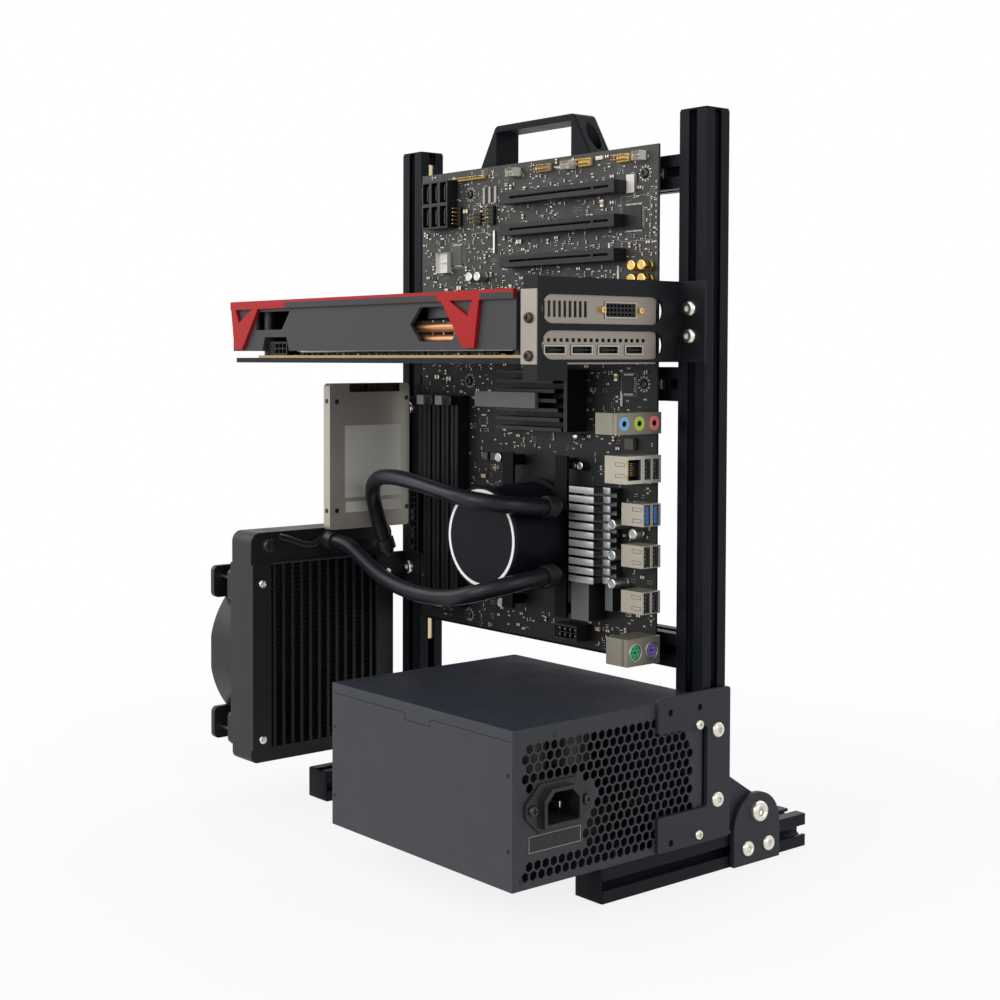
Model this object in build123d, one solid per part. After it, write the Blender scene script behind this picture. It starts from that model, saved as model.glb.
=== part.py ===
"""Open air test bench: a slotted rail frame on two tilting feet, carrying a board, a card, a cooler,
a drive and a power supply."""
import os
from math import hypot, pi, radians, sin, sqrt, tan

from build123d import *

# Driving dimensions in millimetres.
# X runs along the board towards its rear ports, Y to the back, Z up.
# X is 0 at the right upright's inner face, Y is 0 at the uprights' front faces.

# Slotted rails
rail = 20.0
slot_mouth = 6.0
slot_lip = 1.8
slot_width = 11.0
slot_shoulder = 1.3
slot_depth = 6.1
slot_floor = 5.4
rail_bore = 4.2
bay_width = 235.0
upright_length = 425.0
foot_length = 179.0
foot_reach = 82.0
connector_leg = 22.0
connector_width = 7.0
connector_thick = 3.2
mouth_clearance = 0.2

# Fasteners
button_head = 9.5
button_height = 2.75
button_top = 5.6
frame_screw = 5.0
nut_width = 7.0
nut_length = 10.0
nut_thick = 3.4
small_screw = 3.0
small_head = 6.0
small_head_height = 2.0
hole_clearance = 0.2
thread_clearance = 0.05
screw_reach = 5.6

# Tilting feet
pivot_back = 27.0
pivot_rise = 11.0
plate_width = 42.0
plate_height = 42.0
plate_thick = 3.0
foot_screw_spacing = 19.0
pivot_pin = 8.0
pivot_head = 13.0
pivot_head_height = 4.0
pivot_nut = 13.0
pivot_nut_thick = 5.0
pivot_fit = 0.05
tongue_thick = 3.0
tongue_eye = 20.0
tongue_height = 36.0
tongue_screw_rise = 20.0
tongue_foot_gap = 1.5
side_gap = 0.4

# Carry handle on the top rail
handle_length = 110.0
handle_top = 72.0
handle_height = 34.5
handle_grip = 4.5
handle_opening = 69.0
handle_sill = 5.0
handle_side = 68.0
handle_corner = 4.0
handle_edge = 1.5
handle_screw_inset = 11.0
handle_seat = 5.0

# Board
board_width = 215.0
board_height = 305.0
board_thick = 1.6
board_gap = 9.0
board_base = 122.0
standoff_length = 6.4
standoff_hex = 8.0
hole_rows = (16.51, 140.97, 298.45)
rear_column = 10.16
low_rear_column = 33.02
front_column = 165.1
board_hole = 4.0

# Sockets on the board
slot_pitch = 20.32
slot_length = 100.0
slot_body = 7.5
slot_height = 11.0
slot_groove = 1.7
groove_floor = 2.5
slot_end = 25.0
open_slots = (3, 4, 5)
memory_count = 4
memory_pitch = 9.4
memory_length = 142.0
memory_width = 7.0
memory_height = 10.0
memory_latch = 6.0
memory_latch_rise = 6.0
memory_inset = 13.5
memory_base = 12.0
memory_groove = 1.6
memory_groove_depth = 6.0
data_block = (26.5, 9.0, 32.0)
data_inset = (10.0, 6.0)
data_port = (6.4, 13.6)
data_port_depth = 6.5
data_column_count = 3
data_row_count = 2
power_block = (10.0, 13.0, 52.0)
power_inset = (1.0, 45.0)
boost_block = (20.0, 13.0, 10.0)
boost_inset = (52.0, 5.0)
power_wall = 1.2
power_well = 9.0
cpu_centre = (90.0, 69.0)
cpu_socket = 46.0
cpu_socket_height = 4.0
cpu_lid = 38.0
cpu_lid_height = 3.5

# Heatsinks on the board
chipset_size = (64.0, 17.0, 38.0)
chipset_inset = (57.0, 134.0)
chipset_base = 4.0
chipset_fins = 7
chipset_fin = 2.4
chipset_plate = (56.0, 3.0, 10.0)
chipset_plate_shift = -21.0
chipset_bar = 3.0
chipset_bar_gap = 2.0
chipset_slant = 9.0
regulator_size = (20.5, 18.0, 57.0)
regulator_inset = (33.0, 44.0)
regulator_base = 5.0
regulator_fins = 11
regulator_fin = 2.8
regulator_foot = (14.5, 16.0, 24.0)
regulator_step = (6.0, 10.0)
regulator_step_foot = (8.0, 17.0)

# Rear ports, each with its width along Z, height off the board and centre above the board's lower edge
port_overhang = 3.5
port_depth = 16.5
port_wall = 0.8
keyboard_port = (16.0, 28.0, 8.0)
keyboard_hole = 9.0
usb_width = 13.2
usb_height = 15.6
usb_centres = (36.0, 63.0, 87.5)
usb_mouth = (12.0, 5.2)
usb_tongue = 2.0
usb_well = 12.0
network_port = (16.2, 30.0, 114.5)
network_mouth = (12.0, 10.5)
network_well = 13.0
network_usb_step = 2.2
audio_port = (12.6, 38.0, 141.5)
audio_hole = 5.6
audio_well = 10.0
audio_count = 3

# Capacitors standing on the board
cap_radius = 3.2
cap_height = 8.0
tall_cap_height = 13.0
tall_caps = ((23.4, 44.5), (23.4, 61.5), (23.4, 80.0))
audio_caps = ((6.0, 226.0), (14.0, 226.0), (6.0, 234.0), (14.0, 234.0))
other_caps = ((158.0, 233.0), (150.0, 233.0), (11.5, 75.0), (136.0, 55.0), (136.0, 44.0), (132.0, 30.0),
              (126.0, 20.0))

# Liquid cooler pump
pump_radius = 32.0
pump_depth = 43.0
cap_depth = 7.0
cap_ring = 30.0
cap_ring_width = 2.0
cap_ring_depth = 1.0
bracket_plate = 2.0
bracket_rise = 11.0
bracket_span = (48.0, 90.0)
bracket_arm = 10.0
bracket_ring = 3.5
bracket_fit = 0.2
post_radius = 3.5

# Hoses and their fittings
hose_diameter = 10.4
fitting_radius = 4.6
collar_radius = 6.6
collar_length = 7.0
elbow_reach = 8.0

# Radiator and its fan
radiator_thick = 27.0
radiator_lift = 9.5
top_tank = 21.5
core_height = 124.0
bottom_tank = 9.5
tank_inset = 2.0
side_plate = 2.5
tube_count = 12
tube_thick = 2.2
tube_setback = 1.5
fin_setback = 4.0
radiator_gap = 12.0
radiator_offset = 4.0
fill_plug = 5.0
fill_plug_inset = (14.0, 9.0)
fill_plug_proud = 1.2
fan_size = 120.0
fan_thick = 25.0
fan_flange = 4.0
fan_wall = 1.5
fan_barrel_wall = 2.5
fan_hole_inset = 7.5
fan_lug = 22.0
fan_lug_corner = 4.0
fan_drop = 1.0
fan_hub = 20.0
fan_blades = 7
fan_blade_thick = 1.6
fan_root_angle = 48.0
fan_tip_angle = 28.0
fan_tip_gap = 1.0
stator_radius = 21.0
stator_thick = 4.0
strut_width = 4.0
rotor_gap = 0.4
axle_radius = 1.5
axle_fit = 0.05
axle_length = 3.0

# Sheet brackets on the left upright
sheet = 2.0
radiator_tab = (15.0, 28.0, 22.0)
radiator_tab_shifts = (2.5, 0.5)
drive_tab = (52.0, 80.0)
drive_screws = (32.0, -24.0)

# Solid state drive
drive_size = (7.0, 70.0, 100.0)
drive_base = 184.0
drive_offset = 6.0
drive_clearance = 8.0
drive_gap = 5.5
drive_fillet = 3.0
drive_notch = (4.6, 44.0, 6.0)
drive_notch_inset = 9.0
drive_tongues = (22.0, 11.0)
drive_tongue_thick = 1.2
drive_tongue_gap = 4.0

# Graphics card
card_length = 289.0
card_board_length = 262.0
card_board_depth = 99.0
card_rise = 180.3
card_thick = 1.6
card_stand = 12.5
tongue_length = 85.0
tongue_inset = 39.0
tongue_depth = 9.0
tongue_clear = 0.5
backplate_depth = 96.0
backplate_height = 3.2
backplate_wall = 1.2
shroud_wall = 2.5
shroud_depth = 100.0
shroud_rise = 35.7
shroud_skirt = 3.0
shroud_inset = 8.0
boss_radius = 3.0
boss_inset = 5.0
duct_wall = 1.8
card_fan_radius = 43.0
card_fan_gap = 1.2
card_fan_hub = 17.0
card_fan_blades = 9
card_fan_depth = 8.0
card_fan_centres = (72.0, 212.0)
card_fan_drop = 2.0
chip_size = 34.0
chip_height = 2.4
sink_length = 206.0
sink_right = 19.0
sink_depth = 84.0
sink_base = 3.0
sink_rise = 21.2
sink_fins = 22
sink_fin = 0.9
pipe_radius = 3.0
pipe_rise = 3.6
pipe_pitch = 7.2
pipe_count = 2
trim_thick = 2.5
trim_rail = 5.5
trim_bar = 5.5
trim_rise = 37.1
trim_foot_rise = 4.7
trim_wide = 37.0
trim_tip = 9.0
trim_lean = 5.0
trim_right = 35.0
window_left = (222.0, 261.0, 17.7, 29.7)
window_hex = (53.0, 99.0, 8.7, 28.7)
window_slope = 9.0
socket_size = (19.0, 11.0, 9.0)
socket_centre = 238.5

# Card end plate and holder
end_plate_thick = 0.9
end_plate_edge = 117.5
end_plate_height = 40.5
end_plate_drop = 3.5
end_tab = 11.0
holder_sheet = 1.6
holder_rise = 43.7
holder_drop = 3.3
holder_front_drop = 13.3
window_height = 16.0
window_front = 113.0
window_back = 16.0
window_rises = (6.3, 26.1)
holder_screw_rises = (11.7, 27.7)
tab_screw_rises = (0.2, 20.7)
vent_count = 11
vent_pitch = 4.0
vent_size = (2.2, 9.0)
vent_start = 70.0
low_vent_count = 18
low_vent_pitch = 4.7
low_vent_size = (2.6, 2.0)
low_vent_rise = 2.6
low_vent_start = 23.0
port_fit = 0.1
display_ports = ((31.0, 15.0), (52.0, 17.0), (73.0, 17.0), (94.0, 17.0))
display_height = 5.6
video_port = (42.0, 26.0, 9.5)
video_rise = 26.1
port_reach = 7.5
port_flange = (1.2, 5.0, 3.0)
port_proud = 0.6
port_recess = 4.0
port_rim = 0.9

# Power supply and its bracket
psu_length = 158.0
psu_width = 150.0
psu_height = 86.0
psu_sheet = 1.0
psu_lip = 6.0
psu_screw_edge = 6.0
psu_screw_spacing = 64.0
seam_gap = 0.3
seam_tab = (69.0, 47.0, 4.0)
hex_pitch = 6.05
hex_flat = 5.0
hex_margin = 6.5
hex_clear = 3.2
inlet_centre = (33.0, 42.0)
inlet_well = (24.0, 17.0)
inlet_wall = 2.0
inlet_corner = 5.5
inlet_depth = 22.0
inlet_flange = 1.8
inlet_proud = 5.0
inlet_floor = 2.0
flange_size = (50.0, 27.0)
flange_end = 7.0
flange_end_radius = 3.0
inlet_screw_spacing = 40.0
label_box = (11.5, 51.0, 18.5, 28.2)
psu_fan_thick = 25.0
psu_fan_shift = -4.0
grille_rings = 3
grille_bar = 4.0
psu_board_drop = 9.0
psu_post = 4.0
psu_board_inset = 8.0
transformer = (36.0, 32.0, 34.0)
bulk_cap = (13.0, 30.0)
cooling_wall = (84.0, 3.0, 36.0)
bracket_thick = 2.5
bracket_back = 22.0
bracket_spine = 20.0
bracket_arm_reach = 62.0
bracket_top = 109.0
bracket_base = 20.5
bracket_arm_height = 20.5
bracket_corner = 2.0
upright_screws = (44.0, 85.0)
spare_holes = ((-30.0, 100.0), (-5.0, 100.0), (-29.0, 25.0))
spare_hole = 2.0

# Derived places
left_face = -bay_width
right_centre = rail / 2
left_centre = -bay_width - rail / 2
mid_plane = -bay_width / 2
foot_top = rail
right_outer = rail
left_outer = -bay_width - rail
board_right = -board_gap
board_top = board_base + board_height
board_face = -(standoff_length + board_thick)
board_left = board_right - board_width
rail_levels = [board_top - row for row in hole_rows]
pivot_y = rail + pivot_back
pivot_z = foot_top + pivot_rise
card_level = board_base + card_rise
slot_levels = [card_level + slot_pitch * row for row in range(6)]
pump_x = board_right - cpu_centre[0]
pump_z = board_base + cpu_centre[1]
pump_back = board_face - cpu_socket_height - cpu_lid_height
pump_front = pump_back - pump_depth
fan_duct = fan_size / 2 - fan_wall
fan_barrel = fan_duct + fan_barrel_wall
fan_pitch = fan_size - 2 * fan_hole_inset
radiator_width = fan_size
radiator_top = foot_top + radiator_lift + bottom_tank + core_height + top_tank
radiator_face = left_outer + radiator_offset
radiator_back = -radiator_gap
radiator_front = radiator_back - radiator_width
radiator_left = radiator_face - radiator_thick
radiator_mid_y = (radiator_front + radiator_back) / 2
core_top = radiator_top - top_tank
core_base = core_top - core_height
fan_left = radiator_left - fan_thick
fan_centre_z = core_base + fan_size / 2 - fan_drop
drive_face = min(left_face - drive_offset, board_left - drive_clearance)
drive_back = drive_face - drive_size[0]
card_left = -card_length
card_edge = board_face - card_stand
card_front = card_edge - card_board_depth
card_top_face = card_level + card_thick / 2
card_under = card_level - card_thick / 2
shroud_front = card_front - shroud_wall
shroud_rear = shroud_front + shroud_depth
card_mid_y = (shroud_front + shroud_rear) / 2
shroud_top = card_level + shroud_rise
sink_top = card_level + sink_rise
trim_top = card_level + trim_rise
trim_foot = card_level + trim_foot_rise
tab_face = board_face - end_plate_edge
end_plate_base = card_under - end_plate_drop
end_plate_top = end_plate_base + end_plate_height
holder_face = end_plate_thick
holder_outer = holder_face + holder_sheet
holder_top = card_level + holder_rise
holder_foot = card_level - holder_drop
holder_front_foot = card_level - holder_front_drop
window_levels = [card_level + rise for rise in window_rises]
holder_screws = [card_level + rise for rise in holder_screw_rises]
tab_screws = [card_level + rise for rise in tab_screw_rises]
video_level = card_level + video_rise
psu_left = right_outer - psu_length
psu_front = -psu_width
psu_top = foot_top + psu_height
psu_fan_x = (psu_left + right_outer) / 2 + psu_fan_shift
psu_fan_y = psu_front / 2
bracket_outer = right_outer + bracket_thick

# Hose routes, from the radiator to the pump
upper_route = (
    (-230.0, -37.0, 176.5), (-230.5, -43.0, 194.0), (-227.0, -50.5, 210.5), (-213.5, -57.0, 221.0),
    (-187.0, -63.5, 223.5), (-152.0, -72.0, 222.0), (-118.0, -81.5, 219.5), (-90.0, -86.5, 217.0),
    (-71.0, -77.5, 214.5), (-63.5, -62.0, 213.0), (-62.0, -47.0, 212.0),
)
lower_route = (
    (-239.0, -72.0, 176.0), (-225.0, -72.0, 176.0), (-208.0, -73.0, 168.0), (-186.0, -75.0, 158.5),
    (-158.0, -77.5, 153.0), (-128.0, -80.5, 152.5), (-102.0, -84.5, 155.5), (-82.0, -85.0, 160.5),
    (-68.5, -75.0, 165.5), (-63.0, -60.5, 168.5), (-62.0, -47.0, 170.0),
)


def block(x, y, z):
    """A box between two values on each axis."""
    size = [abs(span[1] - span[0]) for span in (x, y, z)]
    return Pos(sum(x) / 2, sum(y) / 2, sum(z) / 2) * Box(*size)


def rod(start, direction, radius, length):
    """A round bar from a point along a direction."""
    bar = Cylinder(radius, length, align=(Align.CENTER, Align.CENTER, Align.MIN))
    return Plane(start, z_dir=direction) * bar


def mirrored(shape):
    """The same piece on the other side of the bench."""
    return mirror(shape, about=Plane.YZ.offset(mid_plane))


def group(solids):
    """Separate solids kept together in one node."""
    return Compound(children=[solid for item in solids for solid in item.solids()])


def yz_plate(sketch, x, thick):
    """A flat plate drawn in Y and Z, from x towards +X."""
    return extrude(Plane.YZ.offset(x) * sketch, amount=thick, dir=(1, 0, 0))


def xz_plate(sketch, y, thick):
    """A flat plate drawn in X and Z, from y towards the front."""
    return extrude(Plane.XZ.offset(-y) * sketch, amount=thick, dir=(0, -1, 0))


def on_board(x, z, height, base=0.0):
    """A block standing on the board's component side."""
    return block(x, (board_face - base - height, board_face - base), z)


def rail_section():
    """The square section with a T slot in each side and a round bore."""
    half = rail / 2
    lip = half - slot_lip
    shoulder = lip - slot_shoulder
    floor = half - slot_depth
    slot = Polygon(
        (half, slot_mouth / 2), (lip, slot_mouth / 2), (lip, slot_width / 2), (shoulder, slot_width / 2),
        (floor, slot_floor / 2), (floor, -slot_floor / 2), (shoulder, -slot_width / 2), (lip, -slot_width / 2),
        (lip, -slot_mouth / 2), (half, -slot_mouth / 2), align=None)
    section = Rectangle(rail, rail) - Circle(rail_bore / 2)
    for turn in range(4):
        section -= Rot(0, 0, 90 * turn) * slot
    return section


def frame_screw_at(seat, direction, grip):
    """A button head screw: seat is where the head bears, direction points into the rail."""
    away = tuple(-value for value in direction)
    head = Plane(seat, z_dir=away) * Cone(button_head / 2, button_top / 2, button_height,
                                          align=(Align.CENTER, Align.CENTER, Align.MIN))
    return head + rod(seat, direction, frame_screw / 2, grip + screw_reach)


def slot_nut_at(face, direction, along):
    """A nut under the slot's lips; face is on the rail's surface, along is the slot's direction."""
    plane = Plane(face, x_dir=along, z_dir=direction).offset(slot_lip)
    nut = Box(nut_length, nut_width, nut_thick, align=(Align.CENTER, Align.CENTER, Align.MIN))
    nut -= Cylinder(frame_screw / 2 + thread_clearance, nut_thick,
                    align=(Align.CENTER, Align.CENTER, Align.MIN))
    return plane * nut


def small_screw_at(seat, direction, length):
    """A pan head screw: seat is where the head bears."""
    away = tuple(-value for value in direction)
    return rod(seat, away, small_head / 2, small_head_height) + rod(seat, direction, small_screw / 2, length)


def screw_hole(seat, direction, size, length):
    """The clearance hole for a screw of that size."""
    return rod(seat, direction, size / 2 + hole_clearance, length)


def head_room(seat, away):
    """The notch that lets a button head in beside a folded leg."""
    return rod(seat, away, button_head / 2 + hole_clearance, button_height + hole_clearance)


def build_frame():
    section = rail_section()
    upright = extrude(section, upright_length)
    cross = Rot(0, 90, 0) * extrude(section, bay_width)
    foot = Rot(-90, 0, 0) * extrude(section, foot_length)
    parts = {
        "right_upright": Pos(right_centre, rail / 2, foot_top) * upright,
        "left_upright": Pos(left_centre, rail / 2, foot_top) * upright,
        "right_foot_rail": Pos(right_centre, -foot_reach, rail / 2) * foot,
        "left_foot_rail": Pos(left_centre, -foot_reach, rail / 2) * foot,
    }
    for name, level in zip(("top", "middle", "bottom"), rail_levels):
        parts[f"{name}_cross_rail"] = Pos(left_face, rail / 2, level) * cross
    connectors = []
    for level, up in zip(rail_levels, (1, 1, -1)):
        corner = connector(level, up)
        connectors += [corner, mirrored(corner)]
    parts["corner_connectors"] = group(connectors)
    return parts


def connector(level, up):
    """An L shaped slot connector in the corner of the left upright and a cross rail."""
    inner = slot_lip + connector_thick
    surface = level + up * rail / 2
    across = (rail / 2 - connector_width / 2, rail / 2 + connector_width / 2)
    neck = (rail / 2 - slot_mouth / 2 + mouth_clearance, rail / 2 + slot_mouth / 2 - mouth_clearance)
    sunk = (surface - up * inner, surface - up * slot_lip)
    standing = block((left_face - inner, left_face - slot_lip), across,
                     (surface - up * inner, surface + up * (connector_leg - inner)))
    lying = block((left_face, left_face + connector_leg - inner), across, sunk)
    return standing + lying + block((left_face - slot_lip, left_face), neck, sunk)


def build_feet():
    """Pivot plates on the feet, tongues on the uprights and the bolts that join them."""
    radius = plate_width / 2
    low = Pos(pivot_y, (plate_height - radius) / 2) * Rectangle(plate_width, plate_height - radius)
    outline = low + Pos(pivot_y, plate_height - radius) * Circle(radius)
    outline -= Pos(pivot_y, pivot_z) * Circle(pivot_pin / 2 + pivot_fit)
    screw_places = [(right_outer + plate_thick, pivot_y + side * foot_screw_spacing / 2, rail / 2)
                    for side in (-1, 1)]
    plate = yz_plate(outline, right_outer, plate_thick)
    screws = []
    for place in screw_places:
        plate -= screw_hole(place, (-1, 0, 0), frame_screw, plate_thick)
        screws.append(frame_screw_at(place, (-1, 0, 0), plate_thick))
        screws.append(slot_nut_at((right_outer, place[1], place[2]), (-1, 0, 0), (0, 1, 0)))
    bolt = rod((right_outer + plate_thick, pivot_y, pivot_z), (1, 0, 0), pivot_head / 2, pivot_head_height)
    bolt = chamfer(bolt.faces().sort_by(Axis.X)[-1].edges(), pivot_head_height / 3)
    tongue_side = right_outer - side_gap
    nut_face = tongue_side - tongue_thick - side_gap
    shank = right_outer + plate_thick - nut_face + pivot_nut_thick
    bolt += rod((right_outer + plate_thick, pivot_y, pivot_z), (-1, 0, 0), pivot_pin / 2, shank)
    hexagon = RegularPolygon(pivot_nut / 2, 6, major_radius=False) - Circle(pivot_pin / 2 + thread_clearance)
    nut = yz_plate(Pos(pivot_y, pivot_z) * hexagon, nut_face - pivot_nut_thick, pivot_nut_thick)
    fasteners = screws + [bolt, nut]

    eye = tongue_eye / 2
    tongue_base = foot_top + tongue_foot_gap
    seat = rail + tongue_thick
    leg = Polygon((rail, tongue_base), (pivot_y, pivot_z - eye), (pivot_y, pivot_z + eye),
                  (rail, tongue_base + tongue_height), align=None) + Pos(pivot_y, pivot_z) * Circle(eye)
    leg -= Pos(pivot_y, pivot_z) * Circle(pivot_pin / 2 + pivot_fit)
    tongue = yz_plate(leg, tongue_side - tongue_thick, tongue_thick)
    tongue += block((tongue_thick, tongue_side), (rail, seat), (tongue_base, tongue_base + tongue_height))
    screw_seat = (right_centre, seat, tongue_base + tongue_screw_rise)
    tongue -= screw_hole(screw_seat, (0, -1, 0), frame_screw, tongue_thick)
    tongue_screw = frame_screw_at(screw_seat, (0, -1, 0), tongue_thick)
    tongue_nut = slot_nut_at((right_centre, rail, screw_seat[2]), (0, -1, 0), (0, 0, 1))
    parts = {
        "right_pivot_plate": plate,
        "left_pivot_plate": mirrored(plate),
        "right_foot_bolts": group(fasteners),
        "left_foot_bolts": group([mirrored(item) for item in fasteners]),
        "right_pivot_tongue": tongue,
        "left_pivot_tongue": mirrored(tongue),
    }
    return parts, [tongue_screw, mirrored(tongue_screw)], [tongue_nut, mirrored(tongue_nut)]


def build_handle():
    """A moulded carry handle screwed to the top rail's upper slot."""
    base = rail_levels[0] + rail / 2
    top = base + handle_height
    right = -handle_side
    left = right - handle_length
    middle = (left + right) / 2
    outline = Polygon((left, base), (right, base), (middle + handle_top / 2, top),
                      (middle - handle_top / 2, top), align=None)
    outline = fillet(outline.vertices().group_by(Axis.Y)[-1], handle_corner)
    handle = xz_plate(outline, rail, rail)
    handle = fillet(handle.edges().filter_by(Axis.X).group_by(Axis.Z)[-1], handle_edge)
    handle -= block((middle - handle_opening / 2, middle + handle_opening / 2), (0, rail),
                    (base + handle_sill, top - handle_grip))
    screws = []
    nuts = []
    for end, side in ((left, 1), (right, -1)):
        place = (end + side * handle_screw_inset, rail / 2, base + handle_seat)
        handle -= rod(place, (0, 0, 1), button_head / 2 + hole_clearance, handle_height)
        handle -= screw_hole(place, (0, 0, -1), frame_screw, handle_seat)
        screws.append(frame_screw_at(place, (0, 0, -1), handle_seat))
        nuts.append(slot_nut_at((place[0], place[1], base), (0, 0, -1), (1, 0, 0)))
    return handle, screws, nuts


def build_psu_bracket():
    """The C shaped plate that ties the supply's rear face to the right upright."""
    spine_front = bracket_back - bracket_spine
    arm_front = bracket_back - bracket_arm_reach
    levels = (bracket_base, bracket_base + bracket_arm_height, bracket_top - bracket_arm_height, bracket_top)
    outline = Polygon((bracket_back, levels[0]), (arm_front, levels[0]), (arm_front, levels[1]),
                      (spine_front, levels[1]), (spine_front, levels[2]), (arm_front, levels[2]),
                      (arm_front, levels[3]), (bracket_back, levels[3]), align=None)
    outline = fillet(outline.vertices(), bracket_corner)
    plate = yz_plate(outline, right_outer, bracket_thick)
    screws = []
    nuts = []
    for level in upright_screws:
        seat = (bracket_outer, rail / 2, level)
        plate -= screw_hole(seat, (-1, 0, 0), frame_screw, bracket_thick)
        screws.append(frame_screw_at(seat, (-1, 0, 0), bracket_thick))
        nuts.append(slot_nut_at((right_outer, rail / 2, level), (-1, 0, 0), (0, 0, 1)))
    small = []
    for level in psu_screw_levels():
        seat = (bracket_outer, -psu_screw_edge, level)
        plate -= screw_hole(seat, (-1, 0, 0), small_screw, bracket_thick)
        small.append(small_screw_at(seat, (-1, 0, 0), bracket_thick + screw_reach))
    for y, z in spare_holes:
        plate -= rod((bracket_outer, y, z), (-1, 0, 0), spare_hole, bracket_thick)
    return plate, screws, nuts, small


def psu_screw_levels():
    low = foot_top + psu_screw_edge
    return (low, low + psu_screw_spacing)


def build_card_holder():
    """A folded plate on the right upright that carries the card's end plate."""
    front = tab_face
    plate = block((holder_face, holder_outer), (front, 0), (holder_foot, holder_top))
    plate += block((holder_face, holder_outer), (front, front + 2 * window_back),
                   (holder_front_foot, holder_foot))
    plate += block((holder_face, rail + holder_face), (-holder_sheet, 0), (holder_foot, holder_top))
    plate += block((holder_face, holder_face + end_tab), (front, front + holder_sheet),
                   (holder_front_foot, holder_top))
    length = window_front - window_back
    for level in window_levels:
        opening = Pos(-(window_front + window_back) / 2, level) * SlotOverall(length, window_height)
        plate -= yz_plate(opening, holder_face, holder_sheet)
    screws = []
    nuts = []
    for level in holder_screws:
        seat = (right_centre, -holder_sheet, level)
        plate -= screw_hole(seat, (0, 1, 0), frame_screw, holder_sheet)
        screws.append(frame_screw_at(seat, (0, 1, 0), holder_sheet))
        nuts.append(slot_nut_at((right_centre, 0, level), (0, 1, 0), (0, 0, 1)))
    small = []
    for level in tab_screws:
        seat = (holder_face + end_tab / 2, front - end_plate_thick, level)
        plate -= screw_hole(seat, (0, 1, 0), small_screw, end_plate_thick + holder_sheet)
        small.append(small_screw_at(seat, (0, 1, 0), end_plate_thick + holder_sheet + small_head_height))
    return plate, screws, nuts, small


def build_left_brackets():
    """Folded brackets for the radiator and the drive on the left upright's front face."""
    screws = []
    nuts = []
    small = []
    tabs = []
    width, reach, height = radiator_tab
    for shift, side in zip(radiator_tab_shifts, (1, -1)):
        screw_level = fan_centre_z + side * fan_pitch / 2
        level = screw_level + shift
        span = (level - height / 2, level + height / 2)
        tab = block((radiator_face, radiator_face + width), (-sheet, 0), span)
        tab += block((radiator_face, radiator_face + sheet), (-reach, 0), span)
        seat = (left_centre, -sheet, level)
        tab -= screw_hole(seat, (0, 1, 0), frame_screw, sheet)
        tab -= head_room(seat, (0, -1, 0))
        screws.append(frame_screw_at(seat, (0, 1, 0), sheet))
        nuts.append(slot_nut_at((left_centre, 0, level), (0, 1, 0), (0, 0, 1)))
        hole = (radiator_face + sheet, radiator_mid_y + fan_pitch / 2, screw_level)
        tab -= screw_hole(hole, (-1, 0, 0), small_screw, sheet)
        small.append(small_screw_at(hole, (-1, 0, 0), sheet + small_head_height))
        tabs.append(tab)

    reach, height = drive_tab
    middle = drive_base + drive_size[2] / 2
    span = (middle - height / 2, middle + height / 2)
    bracket = block((drive_back - sheet, left_face), (-sheet, 0), span)
    bracket += block((drive_back - sheet, drive_back), (-reach, 0), span)
    for offset in drive_screws:
        seat = (left_centre, -sheet, middle + offset)
        bracket -= screw_hole(seat, (0, 1, 0), frame_screw, sheet)
        bracket -= head_room(seat, (0, -1, 0))
        screws.append(frame_screw_at(seat, (0, 1, 0), sheet))
        nuts.append(slot_nut_at((left_centre, 0, seat[2]), (0, 1, 0), (0, 0, 1)))
    return group(tabs), bracket, screws, nuts, small


def board_holes():
    top, middle, low = hole_rows
    places = [(rear_column, top), (rear_column, middle), (low_rear_column, low)]
    places += [(front_column, row) for row in hole_rows]
    return [(board_right - column, board_top - row) for column, row in places]


def build_board():
    """The printed board on its standoffs, with everything soldered to it."""
    board = block((board_left, board_right), (board_face, board_face + board_thick), (board_base, board_top))
    standoffs = []
    nuts = []
    small = []
    for x, z in board_holes():
        seat = (x, board_face, z)
        board -= rod(seat, (0, 1, 0), board_hole / 2, board_thick)
        foot = board_face + board_thick
        hexagon = Pos(x, z) * RegularPolygon(standoff_hex / 2, 6, major_radius=False)
        pillar = xz_plate(hexagon, 0, standoff_length)
        pillar -= rod((x, foot, z), (0, 1, 0), small_screw / 2 + thread_clearance, standoff_length)
        pillar += rod((x, 0, z), (0, 1, 0), frame_screw / 2, screw_reach)
        standoffs.append(pillar)
        nuts.append(slot_nut_at((x, 0, z), (0, 1, 0), (1, 0, 0)))
        small.append(small_screw_at(seat, (0, 1, 0), board_thick + standoff_length / 2))

    slots = [expansion_slot(slot_levels[row]) for row in (0,) + open_slots]
    memory = [memory_slot(index) for index in range(memory_count)]
    stacks = [usb_stack(board_base + centre) for centre in usb_centres]
    parts = {
        "main_board": board,
        "standoffs": group(standoffs),
        "expansion_slots": group(slots),
        "memory_slots": group(memory),
        "board_sockets": group(board_sockets()),
        "chipset_heatsink": chipset_heatsink(),
        "regulator_heatsink": regulator_heatsink(),
        "keyboard_mouse_ports": keyboard_ports(),
        "usb_network_ports": group(stacks + [network_stack()]),
        "audio_jacks": audio_jacks(),
        "capacitors": group([capacitor(*place, tall_cap_height) for place in tall_caps]
                            + [capacitor(*place, cap_height) for place in audio_caps + other_caps]),
    }
    return parts, nuts, small


def expansion_slot(level):
    right = board_right - slot_end
    body = on_board((right - slot_length, right), (level - slot_body / 2, level + slot_body / 2), slot_height)
    groove = on_board((-tongue_inset - tongue_length - tongue_clear, -tongue_inset + tongue_clear),
                      (level - slot_groove / 2, level + slot_groove / 2), slot_height, groove_floor)
    return body - groove


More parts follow.
